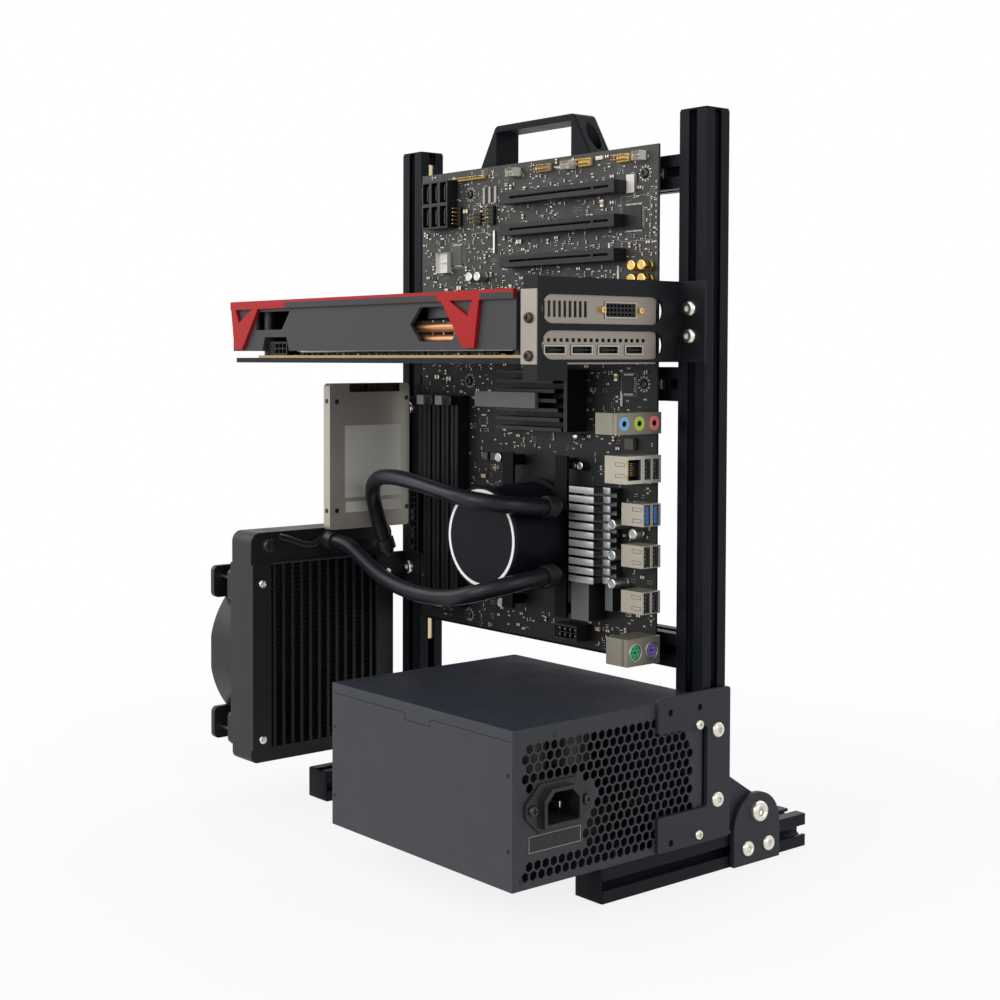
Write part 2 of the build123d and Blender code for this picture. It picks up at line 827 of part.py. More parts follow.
def memory_slot(index):
    left = board_left + memory_inset + memory_pitch * index
    base = board_base + memory_base
    middle = left + memory_width / 2
    across = (left, left + memory_width)
    body = on_board(across, (base, base + memory_length), memory_height)
    for end in ((base, base + memory_latch), (base + memory_length - memory_latch, base + memory_length)):
        body += on_board(across, end, memory_height + memory_latch_rise)
    groove = (middle - memory_groove / 2, middle + memory_groove / 2)
    return body - on_board(groove, (base + memory_latch / 2, base + memory_length - memory_latch / 2),
                           memory_height + memory_latch_rise, memory_height - memory_groove_depth)


def board_sockets():
    """The processor socket, the two power inlets and the block of data ports."""
    half = cpu_socket / 2
    lid = cpu_lid / 2
    processor = on_board((pump_x - half, pump_x + half), (pump_z - half, pump_z + half), cpu_socket_height)
    processor += on_board((pump_x - lid, pump_x + lid), (pump_z - lid, pump_z + lid), cpu_lid_height,
                          cpu_socket_height)

    left = board_left + data_inset[0]
    top = board_top - data_inset[1]
    data = on_board((left, left + data_block[0]), (top - data_block[2], top), data_block[1])
    for column in range(data_column_count):
        for row in range(data_row_count):
            x = left + data_block[0] * (column + 0.5) / data_column_count
            z = top - data_block[2] * (row + 0.5) / data_row_count
            data -= on_board((x - data_port[0] / 2, x + data_port[0] / 2),
                             (z - data_port[1] / 2, z + data_port[1] / 2), data_port_depth,
                             data_block[1] - data_port_depth)

    left = board_left + power_inset[0]
    base = board_base + power_inset[1]
    main = power_inlet((left, left + power_block[0]), (base, base + power_block[2]), power_block[1])
    right = board_right - boost_inset[0]
    base = board_base + boost_inset[1]
    boost = power_inlet((right - boost_block[0], right), (base, base + boost_block[2]), boost_block[1])
    return [processor, data, main, boost]


def power_inlet(x, z, height):
    inner_x = (x[0] + power_wall, x[1] - power_wall)
    inner_z = (z[0] + power_wall, z[1] - power_wall)
    return on_board(x, z, height) - on_board(inner_x, inner_z, power_well, height - power_well)


def chipset_heatsink():
    """A finned block with an upright bar at its end and a plain raised plate across its fins."""
    width, height, tall = chipset_size
    right = board_right - chipset_inset[0]
    base = board_base + chipset_inset[1]
    sink = on_board((right - width, right), (base, base + tall), chipset_base)
    pitch = (tall - chipset_fin) / (chipset_fins - 1)
    for index in range(chipset_fins):
        low = base + pitch * index
        end = right - chipset_bar - chipset_bar_gap - chipset_slant * index / (chipset_fins - 1)
        sink += on_board((right - width, end), (low, low + chipset_fin), height)
    sink += on_board((right - chipset_bar, right), (base, base + tall), height)
    middle = right - width / 2 + chipset_plate_shift
    centre = base + tall / 2
    return sink + on_board((middle - chipset_plate[0] / 2, middle + chipset_plate[0] / 2),
                           (centre - chipset_plate[2] / 2, centre + chipset_plate[2] / 2),
                           chipset_plate[1], height)


def regulator_heatsink():
    """One comb of fins in two heights beside the rear ports, each height with a plain foot below."""
    width, height, tall = regulator_size
    right = board_right - regulator_inset[0]
    left = right - width
    base = board_base + regulator_inset[1]
    step_x = (right, right + regulator_step[0])
    pitch = (tall - regulator_fin) / (regulator_fins - 1)
    sink = on_board((left, step_x[1]), (base, base + tall), regulator_base)
    for index in range(regulator_fins):
        low = base + pitch * index
        sink += on_board((left, right), (low, low + regulator_fin), height)
        sink += on_board(step_x, (low, low + regulator_fin), regulator_step[1])
    sink += on_board((left, left + regulator_foot[0]), (base - regulator_foot[2], base), regulator_foot[1])
    return sink + on_board(step_x, (base - regulator_step_foot[1], base), regulator_step_foot[0])


def port_shell(width, height, centre):
    front = board_right + port_overhang
    return on_board((front - port_depth, front), (centre - width / 2, centre + width / 2), height)


def port_mouth(centre, offset, width, height, depth):
    """A rectangular well in a rear port's outer face, offset off the board to its middle."""
    front = board_right + port_overhang
    across = (centre - width / 2, centre + width / 2)
    return on_board((front - depth, front), across, height, offset - height / 2)


def keyboard_ports():
    width, height, centre = keyboard_port
    shell = port_shell(width, height, board_base + centre)
    front = board_right + port_overhang
    for share in (0.25, 0.75):
        place = (front, board_face - height * share, board_base + centre)
        shell -= rod(place, (-1, 0, 0), keyboard_hole / 2, audio_well)
    return shell


def usb_wells(centre, height):
    wells = []
    for share in (0.27, 0.73):
        offset = height * share
        well = port_mouth(centre, offset, usb_mouth[0], usb_mouth[1], usb_well)
        wells.append(well - port_mouth(centre, offset, usb_mouth[0] - 2 * port_wall, usb_tongue, usb_well))
    return wells


def usb_stack(centre):
    shell = port_shell(usb_width, usb_height, centre)
    for well in usb_wells(centre, usb_height):
        shell -= well
    return shell


def network_stack():
    width, height, centre = network_port
    middle = board_base + centre
    shell = port_shell(width, height, middle)
    for well in usb_wells(middle, usb_height):
        shell -= well
    offset = height - network_usb_step - network_mouth[1] / 2
    return shell - port_mouth(middle, offset, network_mouth[0], network_mouth[1], network_well)


def audio_jacks():
    width, height, centre = audio_port
    shell = port_shell(width, height, board_base + centre)
    front = board_right + port_overhang
    for index in range(audio_count):
        place = (front, board_face - height * (index + 0.5) / audio_count, board_base + centre)
        shell -= rod(place, (-1, 0, 0), audio_hole / 2, audio_well)
    return shell


def capacitor(from_right, from_base, height):
    place = (board_right - from_right, board_face, board_base + from_base)
    return rod(place, (0, -1, 0), cap_radius, height)


def build_pump():
    """Pump body on the processor, its cap with a light ring, and the bracket that holds it down."""
    body = rod((pump_x, pump_back, pump_z), (0, -1, 0), pump_radius, pump_depth)
    cap = rod((pump_x, pump_front, pump_z), (0, -1, 0), pump_radius, cap_depth)
    front = pump_front - cap_depth
    cap = chamfer(cap.faces().sort_by(Axis.Y)[0].edges(), cap_ring_depth)
    groove = rod((pump_x, front, pump_z), (0, 1, 0), cap_ring, cap_ring_depth)
    groove -= rod((pump_x, front, pump_z), (0, 1, 0), cap_ring - cap_ring_width, cap_ring_depth)
    cap -= groove
    plate_back = board_face - bracket_rise
    plate_front = plate_back - bracket_plate
    bracket = rod((pump_x, plate_back, pump_z), (0, -1, 0), pump_radius + bracket_ring, bracket_plate)
    for side_x in (-1, 1):
        for side_z in (-1, 1):
            x = pump_x + side_x * bracket_span[0] / 2
            z = pump_z + side_z * bracket_span[1] / 2
            low = min(z + side_z * bracket_arm / 2, pump_z)
            high = max(z + side_z * bracket_arm / 2, pump_z)
            bracket += block((x - bracket_arm / 2, x + bracket_arm / 2), (plate_front, plate_back), (low, high))
            bracket += rod((x, board_face, z), (0, -1, 0), post_radius, bracket_rise)
    bracket -= rod((pump_x, plate_back, pump_z), (0, -1, 0), pump_radius + bracket_fit, bracket_plate)
    return {"pump_body": body, "pump_cap": cap, "pump_ring": groove, "pump_bracket": bracket}


def elbow(end, after, reach, wall):
    """A bent pipe from a wall at x to a hose's end; its outlet follows the hose's first run."""
    tip = Vector(*end)
    outward = (Vector(*after) - tip).normalized()
    corner = tip - outward * reach
    side = 1 if corner.X > wall else -1
    leg = rod((wall, corner.Y, corner.Z), (side, 0, 0), fitting_radius, abs(corner.X - wall))
    outlet = rod(tuple(corner), tuple(outward), fitting_radius, reach)
    collar = rod(tuple(tip - outward * collar_length), tuple(outward), collar_radius, collar_length)
    return leg + outlet + Pos(corner) * Sphere(fitting_radius) + collar


def hose(route):
    """A tube along straight runs joined by arcs as large as the runs allow."""
    points = [Vector(*point) for point in route]
    radii = []
    for before, here, after in zip(points, points[1:], points[2:]):
        turn = radians((here - before).get_angle(after - here))
        shorter = min((here - before).length, (after - here).length)
        radii.append(0.45 * shorter / tan(turn / 2))
    path = FilletPolyline(*points, radius=radii)
    tube = sweep(Plane(points[0], z_dir=points[1] - points[0]) * Circle(hose_diameter / 2), path=path)
    expected = pi * (hose_diameter / 2) ** 2 * path.length
    print("hose", round(path.length, 1), "radii", [round(value) for value in radii],
          "volume share", round(tube.volume / expected, 4))
    return tube


def build_hoses(pump_body):
    tank_face = radiator_face - tank_inset
    fittings = [elbow(upper_route[0], upper_route[1], elbow_reach, tank_face)]
    for route in (upper_route, lower_route):
        fittings.append(elbow(route[-1], route[-2], elbow_reach, pump_x) - pump_body)
    x, y, z = lower_route[0]
    side = 1 if x > tank_face else -1
    straight = rod((tank_face, y, z), (side, 0, 0), fitting_radius, abs(x - tank_face))
    fittings.append(straight + rod((x, y, z), (-side, 0, 0), collar_radius, collar_length))
    return {"hose_fittings": group(fittings), "upper_hose": hose(upper_route), "lower_hose": hose(lower_route)}


def fan_frame(size, thick, pitch, duct):
    """A square fan frame from z 0, with corner flanges, a round duct and a stator on four struts."""
    align = (Align.CENTER, Align.CENTER, Align.MIN)
    outline = Circle(fan_barrel) & Rectangle(size, size)
    for x in (-1, 1):
        for y in (-1, 1):
            corner = Pos(x * (size - fan_lug) / 2, y * (size - fan_lug) / 2)
            outline += corner * RectangleRounded(fan_lug, fan_lug, fan_lug_corner)
    flange = extrude(outline, fan_flange)
    frame = extrude(Circle(fan_barrel) & Rectangle(size, size), thick)
    frame += flange + Pos(0, 0, thick - fan_flange) * flange
    frame -= Cylinder(duct, thick, align=align)
    strut = Pos(0, 0, stator_thick / 2) * (Box(2 * duct + fan_tip_gap, strut_width, stator_thick)
                                           + Box(strut_width, 2 * duct + fan_tip_gap, stator_thick))
    frame += strut
    frame += Cylinder(stator_radius, stator_thick, align=align)
    frame -= rod((0, 0, stator_thick), (0, 0, -1), axle_radius + axle_fit, axle_length + rotor_gap)
    for x in (-1, 1):
        for y in (-1, 1):
            frame -= screw_hole((x * pitch / 2, y * pitch / 2, 0), (0, 0, 1), small_screw, thick)
    return frame


def fan_rotor(radius, hub, blades, depth):
    """A hub with twisted blades from z 0 up, and an axle below."""
    align = (Align.CENTER, Align.CENTER, Align.MIN)
    sections = []
    for place, angle in ((hub - fan_blade_thick, fan_root_angle), (radius + fan_blade_thick, fan_tip_angle)):
        chord = (depth - 2 * fan_blade_thick) / sin(radians(angle))
        plane = Plane((place, 0, depth / 2), x_dir=(0, 1, 0), z_dir=(1, 0, 0))
        sections.append(plane * Rot(0, 0, angle) * Rectangle(chord, fan_blade_thick))
    blade = loft(sections, ruled=True) & Cylinder(radius, depth, align=align)
    rotor = Cylinder(hub, depth, align=align)
    for index in range(blades):
        rotor += Rot(0, 0, 360 / blades * index) * blade
    return rotor + rod((0, 0, 0), (0, 0, -1), axle_radius, axle_length)


def build_radiator():
    """One brazed radiator: tanks, side channels, flat tubes and the fin block between them."""
    x = (radiator_left, radiator_face)
    tank_x = (radiator_left + tank_inset, radiator_face - tank_inset)
    y = (radiator_front, radiator_back)
    tank = block(tank_x, y, (core_top, radiator_top))
    tank = fillet(tank.edges().filter_by(Axis.X).group_by(Axis.Z)[-1], top_tank / 3)
    foot = block(tank_x, y, (core_base - bottom_tank, core_base))
    foot = fillet(foot.edges().filter_by(Axis.X).group_by(Axis.Z)[0], bottom_tank / 2)
    radiator = tank + foot
    channel = (radiator_width - fan_pitch)
    core = (core_base, core_top)
    for wall, inner in ((y[0], 1), (y[1], -1)):
        radiator += block(x, (wall, wall + inner * side_plate), core)
        for lip in ((x[0], x[0] + side_plate), (x[1] - side_plate, x[1])):
            radiator += block(lip, (wall, wall + inner * channel), core)
    inside = (y[0] + channel, y[1] - channel)
    radiator += block((x[0] + fin_setback, x[1] - fin_setback), (y[0] + side_plate, y[1] - side_plate), core)
    pitch = (inside[1] - inside[0]) / tube_count
    for index in range(tube_count):
        middle = inside[0] + pitch * (index + 0.5)
        radiator += block((x[0] + tube_setback, x[1] - tube_setback),
                          (middle - tube_thick / 2, middle + tube_thick / 2), core)
    plug = (tank_x[1], radiator_front + fill_plug_inset[0], radiator_top - fill_plug_inset[1])
    radiator += rod(plug, (1, 0, 0), fill_plug, fill_plug_proud)
    place = Pos(radiator_left - fan_thick, radiator_mid_y, fan_centre_z) * Rot(0, 90, 0)
    frame = place * fan_frame(fan_size, fan_thick, fan_pitch, fan_duct)
    lift = stator_thick + rotor_gap
    rotor_depth = fan_thick - lift - fan_tip_gap
    rotor = place * Pos(0, 0, lift) * fan_rotor(fan_duct - fan_tip_gap, fan_hub, fan_blades, rotor_depth)
    small = []
    for side_y in (-1, 1):
        for side_z in (-1, 1):
            spot = (radiator_mid_y + side_y * fan_pitch / 2, fan_centre_z + side_z * fan_pitch / 2)
            small.append(small_screw_at((fan_left, *spot), (1, 0, 0), fan_thick + small_head_height))
            radiator -= screw_hole((radiator_left, *spot), (1, 0, 0), small_screw, side_plate)
            radiator -= screw_hole((radiator_face, *spot), (-1, 0, 0), small_screw, side_plate)
        spot = (radiator_mid_y - fan_pitch / 2, fan_centre_z + side_y * fan_pitch / 2)
        small.append(small_screw_at((radiator_face, *spot), (-1, 0, 0), small_head_height))
    return {"radiator": radiator, "radiator_fan_frame": frame, "radiator_fan_rotor": rotor}, small


def build_drive():
    thick, depth, tall = drive_size
    drive = block((drive_back, drive_face), (-drive_gap - depth, -drive_gap), (drive_base, drive_base + tall))
    drive = fillet(drive.edges().filter_by(Axis.X), drive_fillet)
    end = -drive_gap - drive_notch_inset
    top = drive_base + tall
    deep, wide, low = drive_notch
    drive -= block((drive_face - deep, drive_face), (end - wide, end), (top - low, top))
    tongue_x = (drive_face - deep / 2 - drive_tongue_thick, drive_face - deep / 2)
    for tongue in drive_tongues:
        end -= drive_tongue_gap
        drive += block(tongue_x, (end - tongue, end), (top - low, top))
        end -= tongue
    return drive


def build_card():
    """Graphics card: fans up, backplate down, its tongue in the lowest expansion slot."""
    board = block((-card_board_length, 0), (card_front, card_edge), (card_under, card_top_face))
    board += block((-tongue_inset - tongue_length, -tongue_inset), (card_edge, card_edge + tongue_depth),
                   (card_under, card_top_face))
    chip = chip_size / 2
    chip_x = -(sum(card_fan_centres) / 2)
    board += block((chip_x - chip, chip_x + chip), (card_mid_y - chip, card_mid_y + chip),
                   (card_top_face, card_top_face + chip_height))

    plate_rear = card_front + backplate_depth
    base = card_under - backplate_height
    backplate = block((card_left, 0), (card_front, plate_rear), (base, card_under))
    backplate -= block((card_left + backplate_wall, -backplate_wall),
                       (card_front + backplate_wall, plate_rear - backplate_wall),
                       (base + backplate_wall, card_under))

    sink_base_z = card_top_face + chip_height
    sink_x = (-sink_right - sink_length, -sink_right)
    sink_y = (card_mid_y - sink_depth / 2, card_mid_y + sink_depth / 2)
    sink = block(sink_x, sink_y, (sink_base_z, sink_base_z + sink_base))
    pitch = (sink_length - sink_fin) / (sink_fins - 1)
    for index in range(sink_fins):
        low = sink_x[0] + pitch * index
        sink += block((low, low + sink_fin), sink_y, (sink_base_z, sink_top))
    for index in range(pipe_count):
        level = sink_base_z + sink_base + pipe_rise + pipe_pitch * index
        sink += rod((sink_x[0], sink_y[0], level), (1, 0, 0), pipe_radius, sink_length)

    parts = {"card_board": board, "card_backplate": backplate, "card_heatsink": sink}
    parts["card_shroud"] = card_shroud()
    parts["card_trim"] = card_trim()
    rotor = fan_rotor(card_fan_radius, card_fan_hub, card_fan_blades, card_fan_depth)
    for name, centre in zip(("right", "left"), card_fan_centres):
        parts[f"card_fan_rotor_{name}"] = Pos(-centre, card_mid_y, card_rotor_level()) * rotor
    parts.update(card_end())
    return parts


def card_rotor_level():
    return shroud_top - card_fan_drop - card_fan_depth


def card_shroud():
    """The moulded cover with its fan ducts, stators, side windows and the bay round the power socket."""
    skirt = card_top_face + shroud_skirt
    x = (card_left, -shroud_inset)
    shroud = block(x, (shroud_front, shroud_rear), (skirt, shroud_top))
    shroud -= block((x[0] + shroud_wall, x[1] - shroud_wall),
                    (shroud_front + shroud_wall, shroud_rear - shroud_wall),
                    (skirt, shroud_top - shroud_wall))
    duct = card_fan_radius + card_fan_gap
    stator_top = card_rotor_level() - rotor_gap
    stator_base = stator_top - axle_length
    for centre in card_fan_centres:
        start = (-centre, card_mid_y, stator_base)
        ring = rod(start, (0, 0, 1), duct + duct_wall, shroud_top - shroud_wall - stator_base)
        shroud += ring
        shroud -= rod(start, (0, 0, 1), duct, shroud_top - stator_base)
        hub = rod(start, (0, 0, 1), card_fan_hub, axle_length)
        span = duct + duct_wall / 2
        hub += block((-centre - span, -centre + span),
                     (card_mid_y - strut_width / 2, card_mid_y + strut_width / 2),
                     (stator_base, stator_top))
        shroud += hub - rod(start, (0, 0, 1), axle_radius + axle_fit, axle_length)
    for boss_x in (-card_board_length + boss_inset, x[1] - boss_inset):
        for boss_y in (shroud_front + shroud_wall + boss_inset, card_edge - boss_inset):
            shroud += rod((boss_x, boss_y, card_top_face), (0, 0, 1), boss_radius,
                          shroud_top - shroud_wall - card_top_face)
    return shroud - front_openings(skirt)


def front_openings(skirt):
    """Cuts through the shroud's front wall: the left window, the hexagon and the socket bay."""
    near, far, low, high = window_left
    left = Polygon((-far, low), (-near - window_slope, low), (-near, high), (-far, high), align=None)
    near, far, low, high = window_hex
    middle = (low + high) / 2
    hexagon = Polygon((-far, middle), (-far + window_slope, low), (-near - window_slope, low), (-near, middle),
                      (-near - window_slope, high), (-far + window_slope, high), align=None)
    windows = Pos(0, card_level) * (left + hexagon)
    half = socket_size[0] / 2 + shroud_skirt
    top = card_top_face + socket_size[2] + shroud_skirt
    bay = Polygon((-socket_centre - half - shroud_skirt, skirt), (-socket_centre + half + shroud_skirt, skirt),
                  (-socket_centre + half, top), (-socket_centre - half, top), align=None)
    return xz_plate(windows + bay, shroud_front + shroud_wall, shroud_wall)


def card_trim():
    """A rail along the top front edge with two open inverted triangles hanging from it."""
    middle = (card_left - shroud_inset) / 2
    outline = Pos(middle, trim_top - trim_rail / 2) * Rectangle(card_length - shroud_inset, trim_rail)
    outline += trim_triangle(card_left, 1)
    outline += trim_triangle(-trim_right, -1)
    return xz_plate(outline, shroud_front, trim_thick)


def trim_triangle(side, inward):
    """One open triangle with its upright edge at side and its point at the foot."""
    top = trim_top
    outer = Polygon((side, top), (side + inward * trim_wide, top),
                    (side + inward * (trim_lean + trim_tip), trim_foot), (side + inward * trim_lean, trim_foot),
                    align=None)
    lean = trim_lean * (top - trim_rail - trim_foot) / (top - trim_foot)
    cut_top = top - trim_rail
    cut_foot = trim_foot + 2 * trim_tip
    reach = trim_wide - trim_rail
    inner = Polygon((side + inward * (trim_bar + trim_lean - lean), cut_top),
                    (side + inward * (reach - trim_bar), cut_top),
                    (side + inward * (trim_lean + trim_bar), cut_foot), align=None)
    return outer - inner


def card_end():
    """The steel end plate with its vents, the sockets behind it and the power socket."""
    tall = (end_plate_base, end_plate_top)
    plate = block((0, end_plate_thick), (tab_face - end_plate_thick, card_edge), tall)
    plate += block((0, holder_face + end_tab), (tab_face - end_plate_thick, tab_face), tall)
    for level in tab_screws:
        seat = (holder_face + end_tab / 2, tab_face - end_plate_thick, level)
        plate -= screw_hole(seat, (0, 1, 0), small_screw, end_plate_thick)
    for index in range(vent_count):
        y = board_face - vent_start - vent_pitch * index
        plate -= block((0, end_plate_thick), (y - vent_size[0] / 2, y + vent_size[0] / 2),
                       (video_level - vent_size[1] / 2, video_level + vent_size[1] / 2))
    sockets = []
    display_level = card_top_face + display_height / 2
    low_level = card_top_face + display_height + low_vent_rise
    for index in range(low_vent_count):
        y = board_face - low_vent_start - low_vent_pitch * index
        plate -= block((0, end_plate_thick), (y - low_vent_size[0] / 2, y + low_vent_size[0] / 2),
                       (low_level - low_vent_size[1] / 2, low_level + low_vent_size[1] / 2))
    places = [(centre, width, display_level, display_height) for centre, width in display_ports]
    places.append((video_port[0], video_port[1], video_level, video_port[2]))
    for centre, width, level, height in places:
        y = board_face - centre
        sockets.append(card_socket(y, width, level, height))
        across = width / 2 + port_fit
        tall = height / 2 + port_fit
        plate -= block((0, end_plate_thick), (y - across, y + across), (level - tall, level + tall))
    sockets[-1] += video_flange()
    base = card_top_face
    half = socket_size[0] / 2
    power = block((-socket_centre - half, -socket_centre + half), (card_front, card_front + socket_size[1]),
                  (base, base + socket_size[2]))
    well = block((-socket_centre - half + port_rim, -socket_centre + half - port_rim),
                 (card_front, card_front + port_recess), (base + port_rim, base + socket_size[2] - port_rim))
    sockets.append(power - well)
    return {"card_end_plate": plate, "card_sockets": group(sockets)}


def video_flange():
    """The frame that seats the wide video socket behind the end plate."""
    thick, wide, tall = port_flange
    middle = Pos(board_face - video_port[0], video_level)
    frame = middle * Rectangle(video_port[1] + 2 * wide, video_port[2] + 2 * tall)
    frame -= middle * Rectangle(video_port[1], video_port[2])
    return yz_plate(frame, -thick, thick)


def card_socket(y, width, level, height):
    """A display socket through the end plate, hollow at its mouth."""
    across = (y - width / 2, y + width / 2)
    tall = (level - height / 2, level + height / 2)
    body = block((-port_reach, end_plate_thick + port_proud), across, tall)
    well = block((end_plate_thick + port_proud - port_recess, end_plate_thick + port_proud),
                 (across[0] + port_rim, across[1] - port_rim), (tall[0] + port_rim, tall[1] - port_rim))
    return body - well


def build_supply():
    """Power supply: a folded case with a hex grille, a cover with the fan, and the parts inside."""
    x = (psu_left, right_outer)
    y = (psu_front, 0.0)
    z = (foot_top, psu_top)
    case = block(x, y, (z[1] - psu_sheet, z[1]))
    case += block((x[0], x[0] + psu_sheet), (y[0], y[1]), (z[0] + psu_sheet, z[1]))
    rear = block((x[1] - psu_sheet, x[1]), (y[0], y[1]), (z[0] + psu_sheet, z[1]))
    rear -= hex_cuts()
    rear -= yz_plate(inlet_outline(inlet_wall), x[1] - psu_sheet, psu_sheet)
    for level in psu_screw_levels():
        rear -= screw_hole((x[1], -psu_screw_edge, level), (-1, 0, 0), small_screw, psu_sheet)
    for side in (-1, 1):
        place = psu_front + inlet_centre[0] + side * inlet_screw_spacing / 2
        rear -= screw_hole((x[1], place, foot_top + inlet_centre[1]), (-1, 0, 0), small_screw, psu_sheet)
    case += rear
    inner_x = (x[0] + psu_sheet, x[1] - psu_sheet)
    seam = z[1] - psu_lip
    tab_x = (-seam_tab[0], -seam_tab[1])
    notch_x = (tab_x[0] - seam_gap, tab_x[1] + seam_gap)
    cover = block(x, y, (z[0], z[0] + psu_sheet))
    for wall in ((y[0], y[0] + psu_sheet), (y[1] - psu_sheet, y[1])):
        cover += block(inner_x, wall, (z[0], seam - seam_gap))
        cover -= block(notch_x, wall, (seam - seam_gap - seam_tab[2], seam))
        case += block(inner_x, wall, (seam, z[1]))
        case += block(tab_x, wall, (seam - seam_tab[2], seam))
    cover -= fan_grille()

    place = Pos(psu_fan_x, psu_fan_y, foot_top + psu_sheet)
    lift = stator_thick + rotor_gap
    turn = place * Pos(0, 0, psu_fan_thick) * Rot(180, 0, 0)
    frame = turn * fan_frame(fan_size, psu_fan_thick, fan_pitch, fan_duct)
    rotor_depth = psu_fan_thick - lift - fan_tip_gap
    rotor = turn * Pos(0, 0, lift) * fan_rotor(fan_duct - fan_tip_gap, fan_hub, fan_blades, rotor_depth)
    return {
        "psu_case": case, "psu_cover": cover, "psu_inlet": psu_inlet(), "psu_fan_frame": frame,
        "psu_fan_rotor": rotor, "psu_board": psu_board(),
    }


def inlet_outline(wall):
    """The mains socket's outline in Y and Z, with its two upper corners cut off, grown by a wall."""
    half = inlet_well[0] / 2 + wall
    tall = inlet_well[1] / 2 + wall
    outline = Polygon((-half, -tall), (half, -tall), (half, tall - inlet_corner), (half - inlet_corner, tall),
                      (inlet_corner - half, tall), (-half, tall - inlet_corner), align=None)
    return Pos(psu_front + inlet_centre[0], foot_top + inlet_centre[1]) * outline


def psu_inlet():
    """The mains socket: a housing through the rear wall, on a flange that narrows to its two screws."""
    half, tall = flange_size[0] / 2, flange_size[1] / 2
    shoulder = inlet_well[0] / 2 + inlet_wall
    end = flange_end / 2
    flange = Polygon((-half, -end), (-shoulder, -tall), (shoulder, -tall), (half, -end), (half, end),
                     (shoulder, tall), (-shoulder, tall), (-half, end), align=None)
    flange = fillet(flange.vertices(), flange_end_radius)
    for side in (-1, 1):
        flange -= Pos(side * inlet_screw_spacing / 2, 0) * Circle(small_screw / 2 + hole_clearance)
    flange = Pos(psu_front + inlet_centre[0], foot_top + inlet_centre[1]) * flange
    inlet = yz_plate(inlet_outline(inlet_wall), right_outer - inlet_depth, inlet_depth + inlet_proud)
    inlet += yz_plate(flange, right_outer, inlet_flange)
    deep = inlet_depth + inlet_proud - inlet_floor
    return inlet - yz_plate(inlet_outline(0), right_outer - inlet_depth + inlet_floor, deep)


def inlet_screws():
    """The two screws of the inlet's flange."""
    level = foot_top + inlet_centre[1]
    seats = [(right_outer + inlet_flange, psu_front + inlet_centre[0] + side * inlet_screw_spacing / 2, level)
             for side in (-1, 1)]
    return [small_screw_at(seat, (-1, 0, 0), inlet_flange + screw_reach) for seat in seats]


def on_inlet(across, up):
    """Whether a grille hole at that distance from the inlet's middle would meet its flange."""
    shoulder = inlet_well[0] / 2 + inlet_wall
    half, tall = flange_size[0] / 2, flange_size[1] / 2
    taper = max(0.0, abs(across) - shoulder) * (tall - flange_end / 2) / (half - shoulder)
    return abs(across) < half + hex_clear and abs(up) < tall + hex_clear - taper


def hex_cuts():
    """The hexagon pattern of the rear grille, clear of the inlet, the plain field and the screws."""
    row_step = hex_pitch * sqrt(3) / 2
    left, right, low, high = label_box
    edge = psu_width - psu_screw_edge
    screws = [level - foot_top for level in psu_screw_levels()]
    hexagons = Sketch()
    rows = int((psu_height - 2 * hex_margin) / row_step) + 1
    columns = int((psu_width - 2 * hex_margin) / hex_pitch)
    for row in range(rows):
        for column in range(columns):
            u = hex_margin + hex_pitch * (column + 0.5 + (row % 2) / 2)
            v = hex_margin + row_step * row
            on_field = left - hex_clear < u < right + hex_clear and low - hex_clear < v < high + hex_clear
            at_screw = any(hypot(u - edge, v - screw) < 2 * hex_clear + small_screw / 2 for screw in screws)
            if not (on_inlet(u - inlet_centre[0], v - inlet_centre[1]) or on_field or at_screw):
                hexagons += Pos(psu_front + u, foot_top + v) * RegularPolygon(
                    hex_flat / 2, 6, major_radius=False, rotation=30)
    return yz_plate(hexagons, right_outer - psu_sheet, psu_sheet)


def fan_grille():
    """Ring shaped slots under the supply's fan, left in four quarters by crossed bars."""
    step = (fan_duct - fan_hub) / grille_rings
    rings = Sketch()
    for index in range(grille_rings):
        outer = fan_hub + step * (index + 1)
        rings += Circle(outer - grille_bar / 2) - Circle(outer - step + grille_bar / 2)
    rings -= Rectangle(2 * fan_duct, grille_bar) + Rectangle(grille_bar, 2 * fan_duct)
    return Pos(psu_fan_x, psu_fan_y, foot_top) * extrude(rings, psu_sheet)


def psu_board():
    """The supply's own board, hung from the case's top with its tallest parts pointing down."""
    top = psu_top - psu_sheet
    board_z = (top - psu_board_drop, top - psu_board_drop + board_thick)
    x = (psu_left + psu_board_inset, right_outer - inlet_depth - psu_board_inset)
    y = (psu_front + psu_board_inset, -psu_board_inset)
    board = block(x, y, board_z)
    for post_x in (x[0] + psu_post, x[1] - psu_post):
        for post_y in (y[0] + psu_post, y[1] - psu_post):
            board += rod((post_x, post_y, board_z[1]), (0, 0, 1), psu_post / 2, top - board_z[1])
    mid_x = sum(x) / 2
    mid_y = sum(y) / 2
    board += block((mid_x - transformer[0] / 2, mid_x + transformer[0] / 2),
                   (mid_y - transformer[1] / 2, mid_y + transformer[1] / 2),
                   (board_z[0] - transformer[2], board_z[0]))
    for side in (-1, 1):
        wall_y = mid_y + side * (transformer[1] / 2 + bulk_cap[0])
        board += block((mid_x - cooling_wall[0] / 2, mid_x + cooling_wall[0] / 2),
                       (wall_y - cooling_wall[1] / 2, wall_y + cooling_wall[1] / 2),
                       (board_z[0] - cooling_wall[2], board_z[0]))
        board += rod((mid_x + transformer[0], mid_y + side * transformer[1] / 2, board_z[0]), (0, 0, -1),
                     bulk_cap[0], bulk_cap[1])
    return board


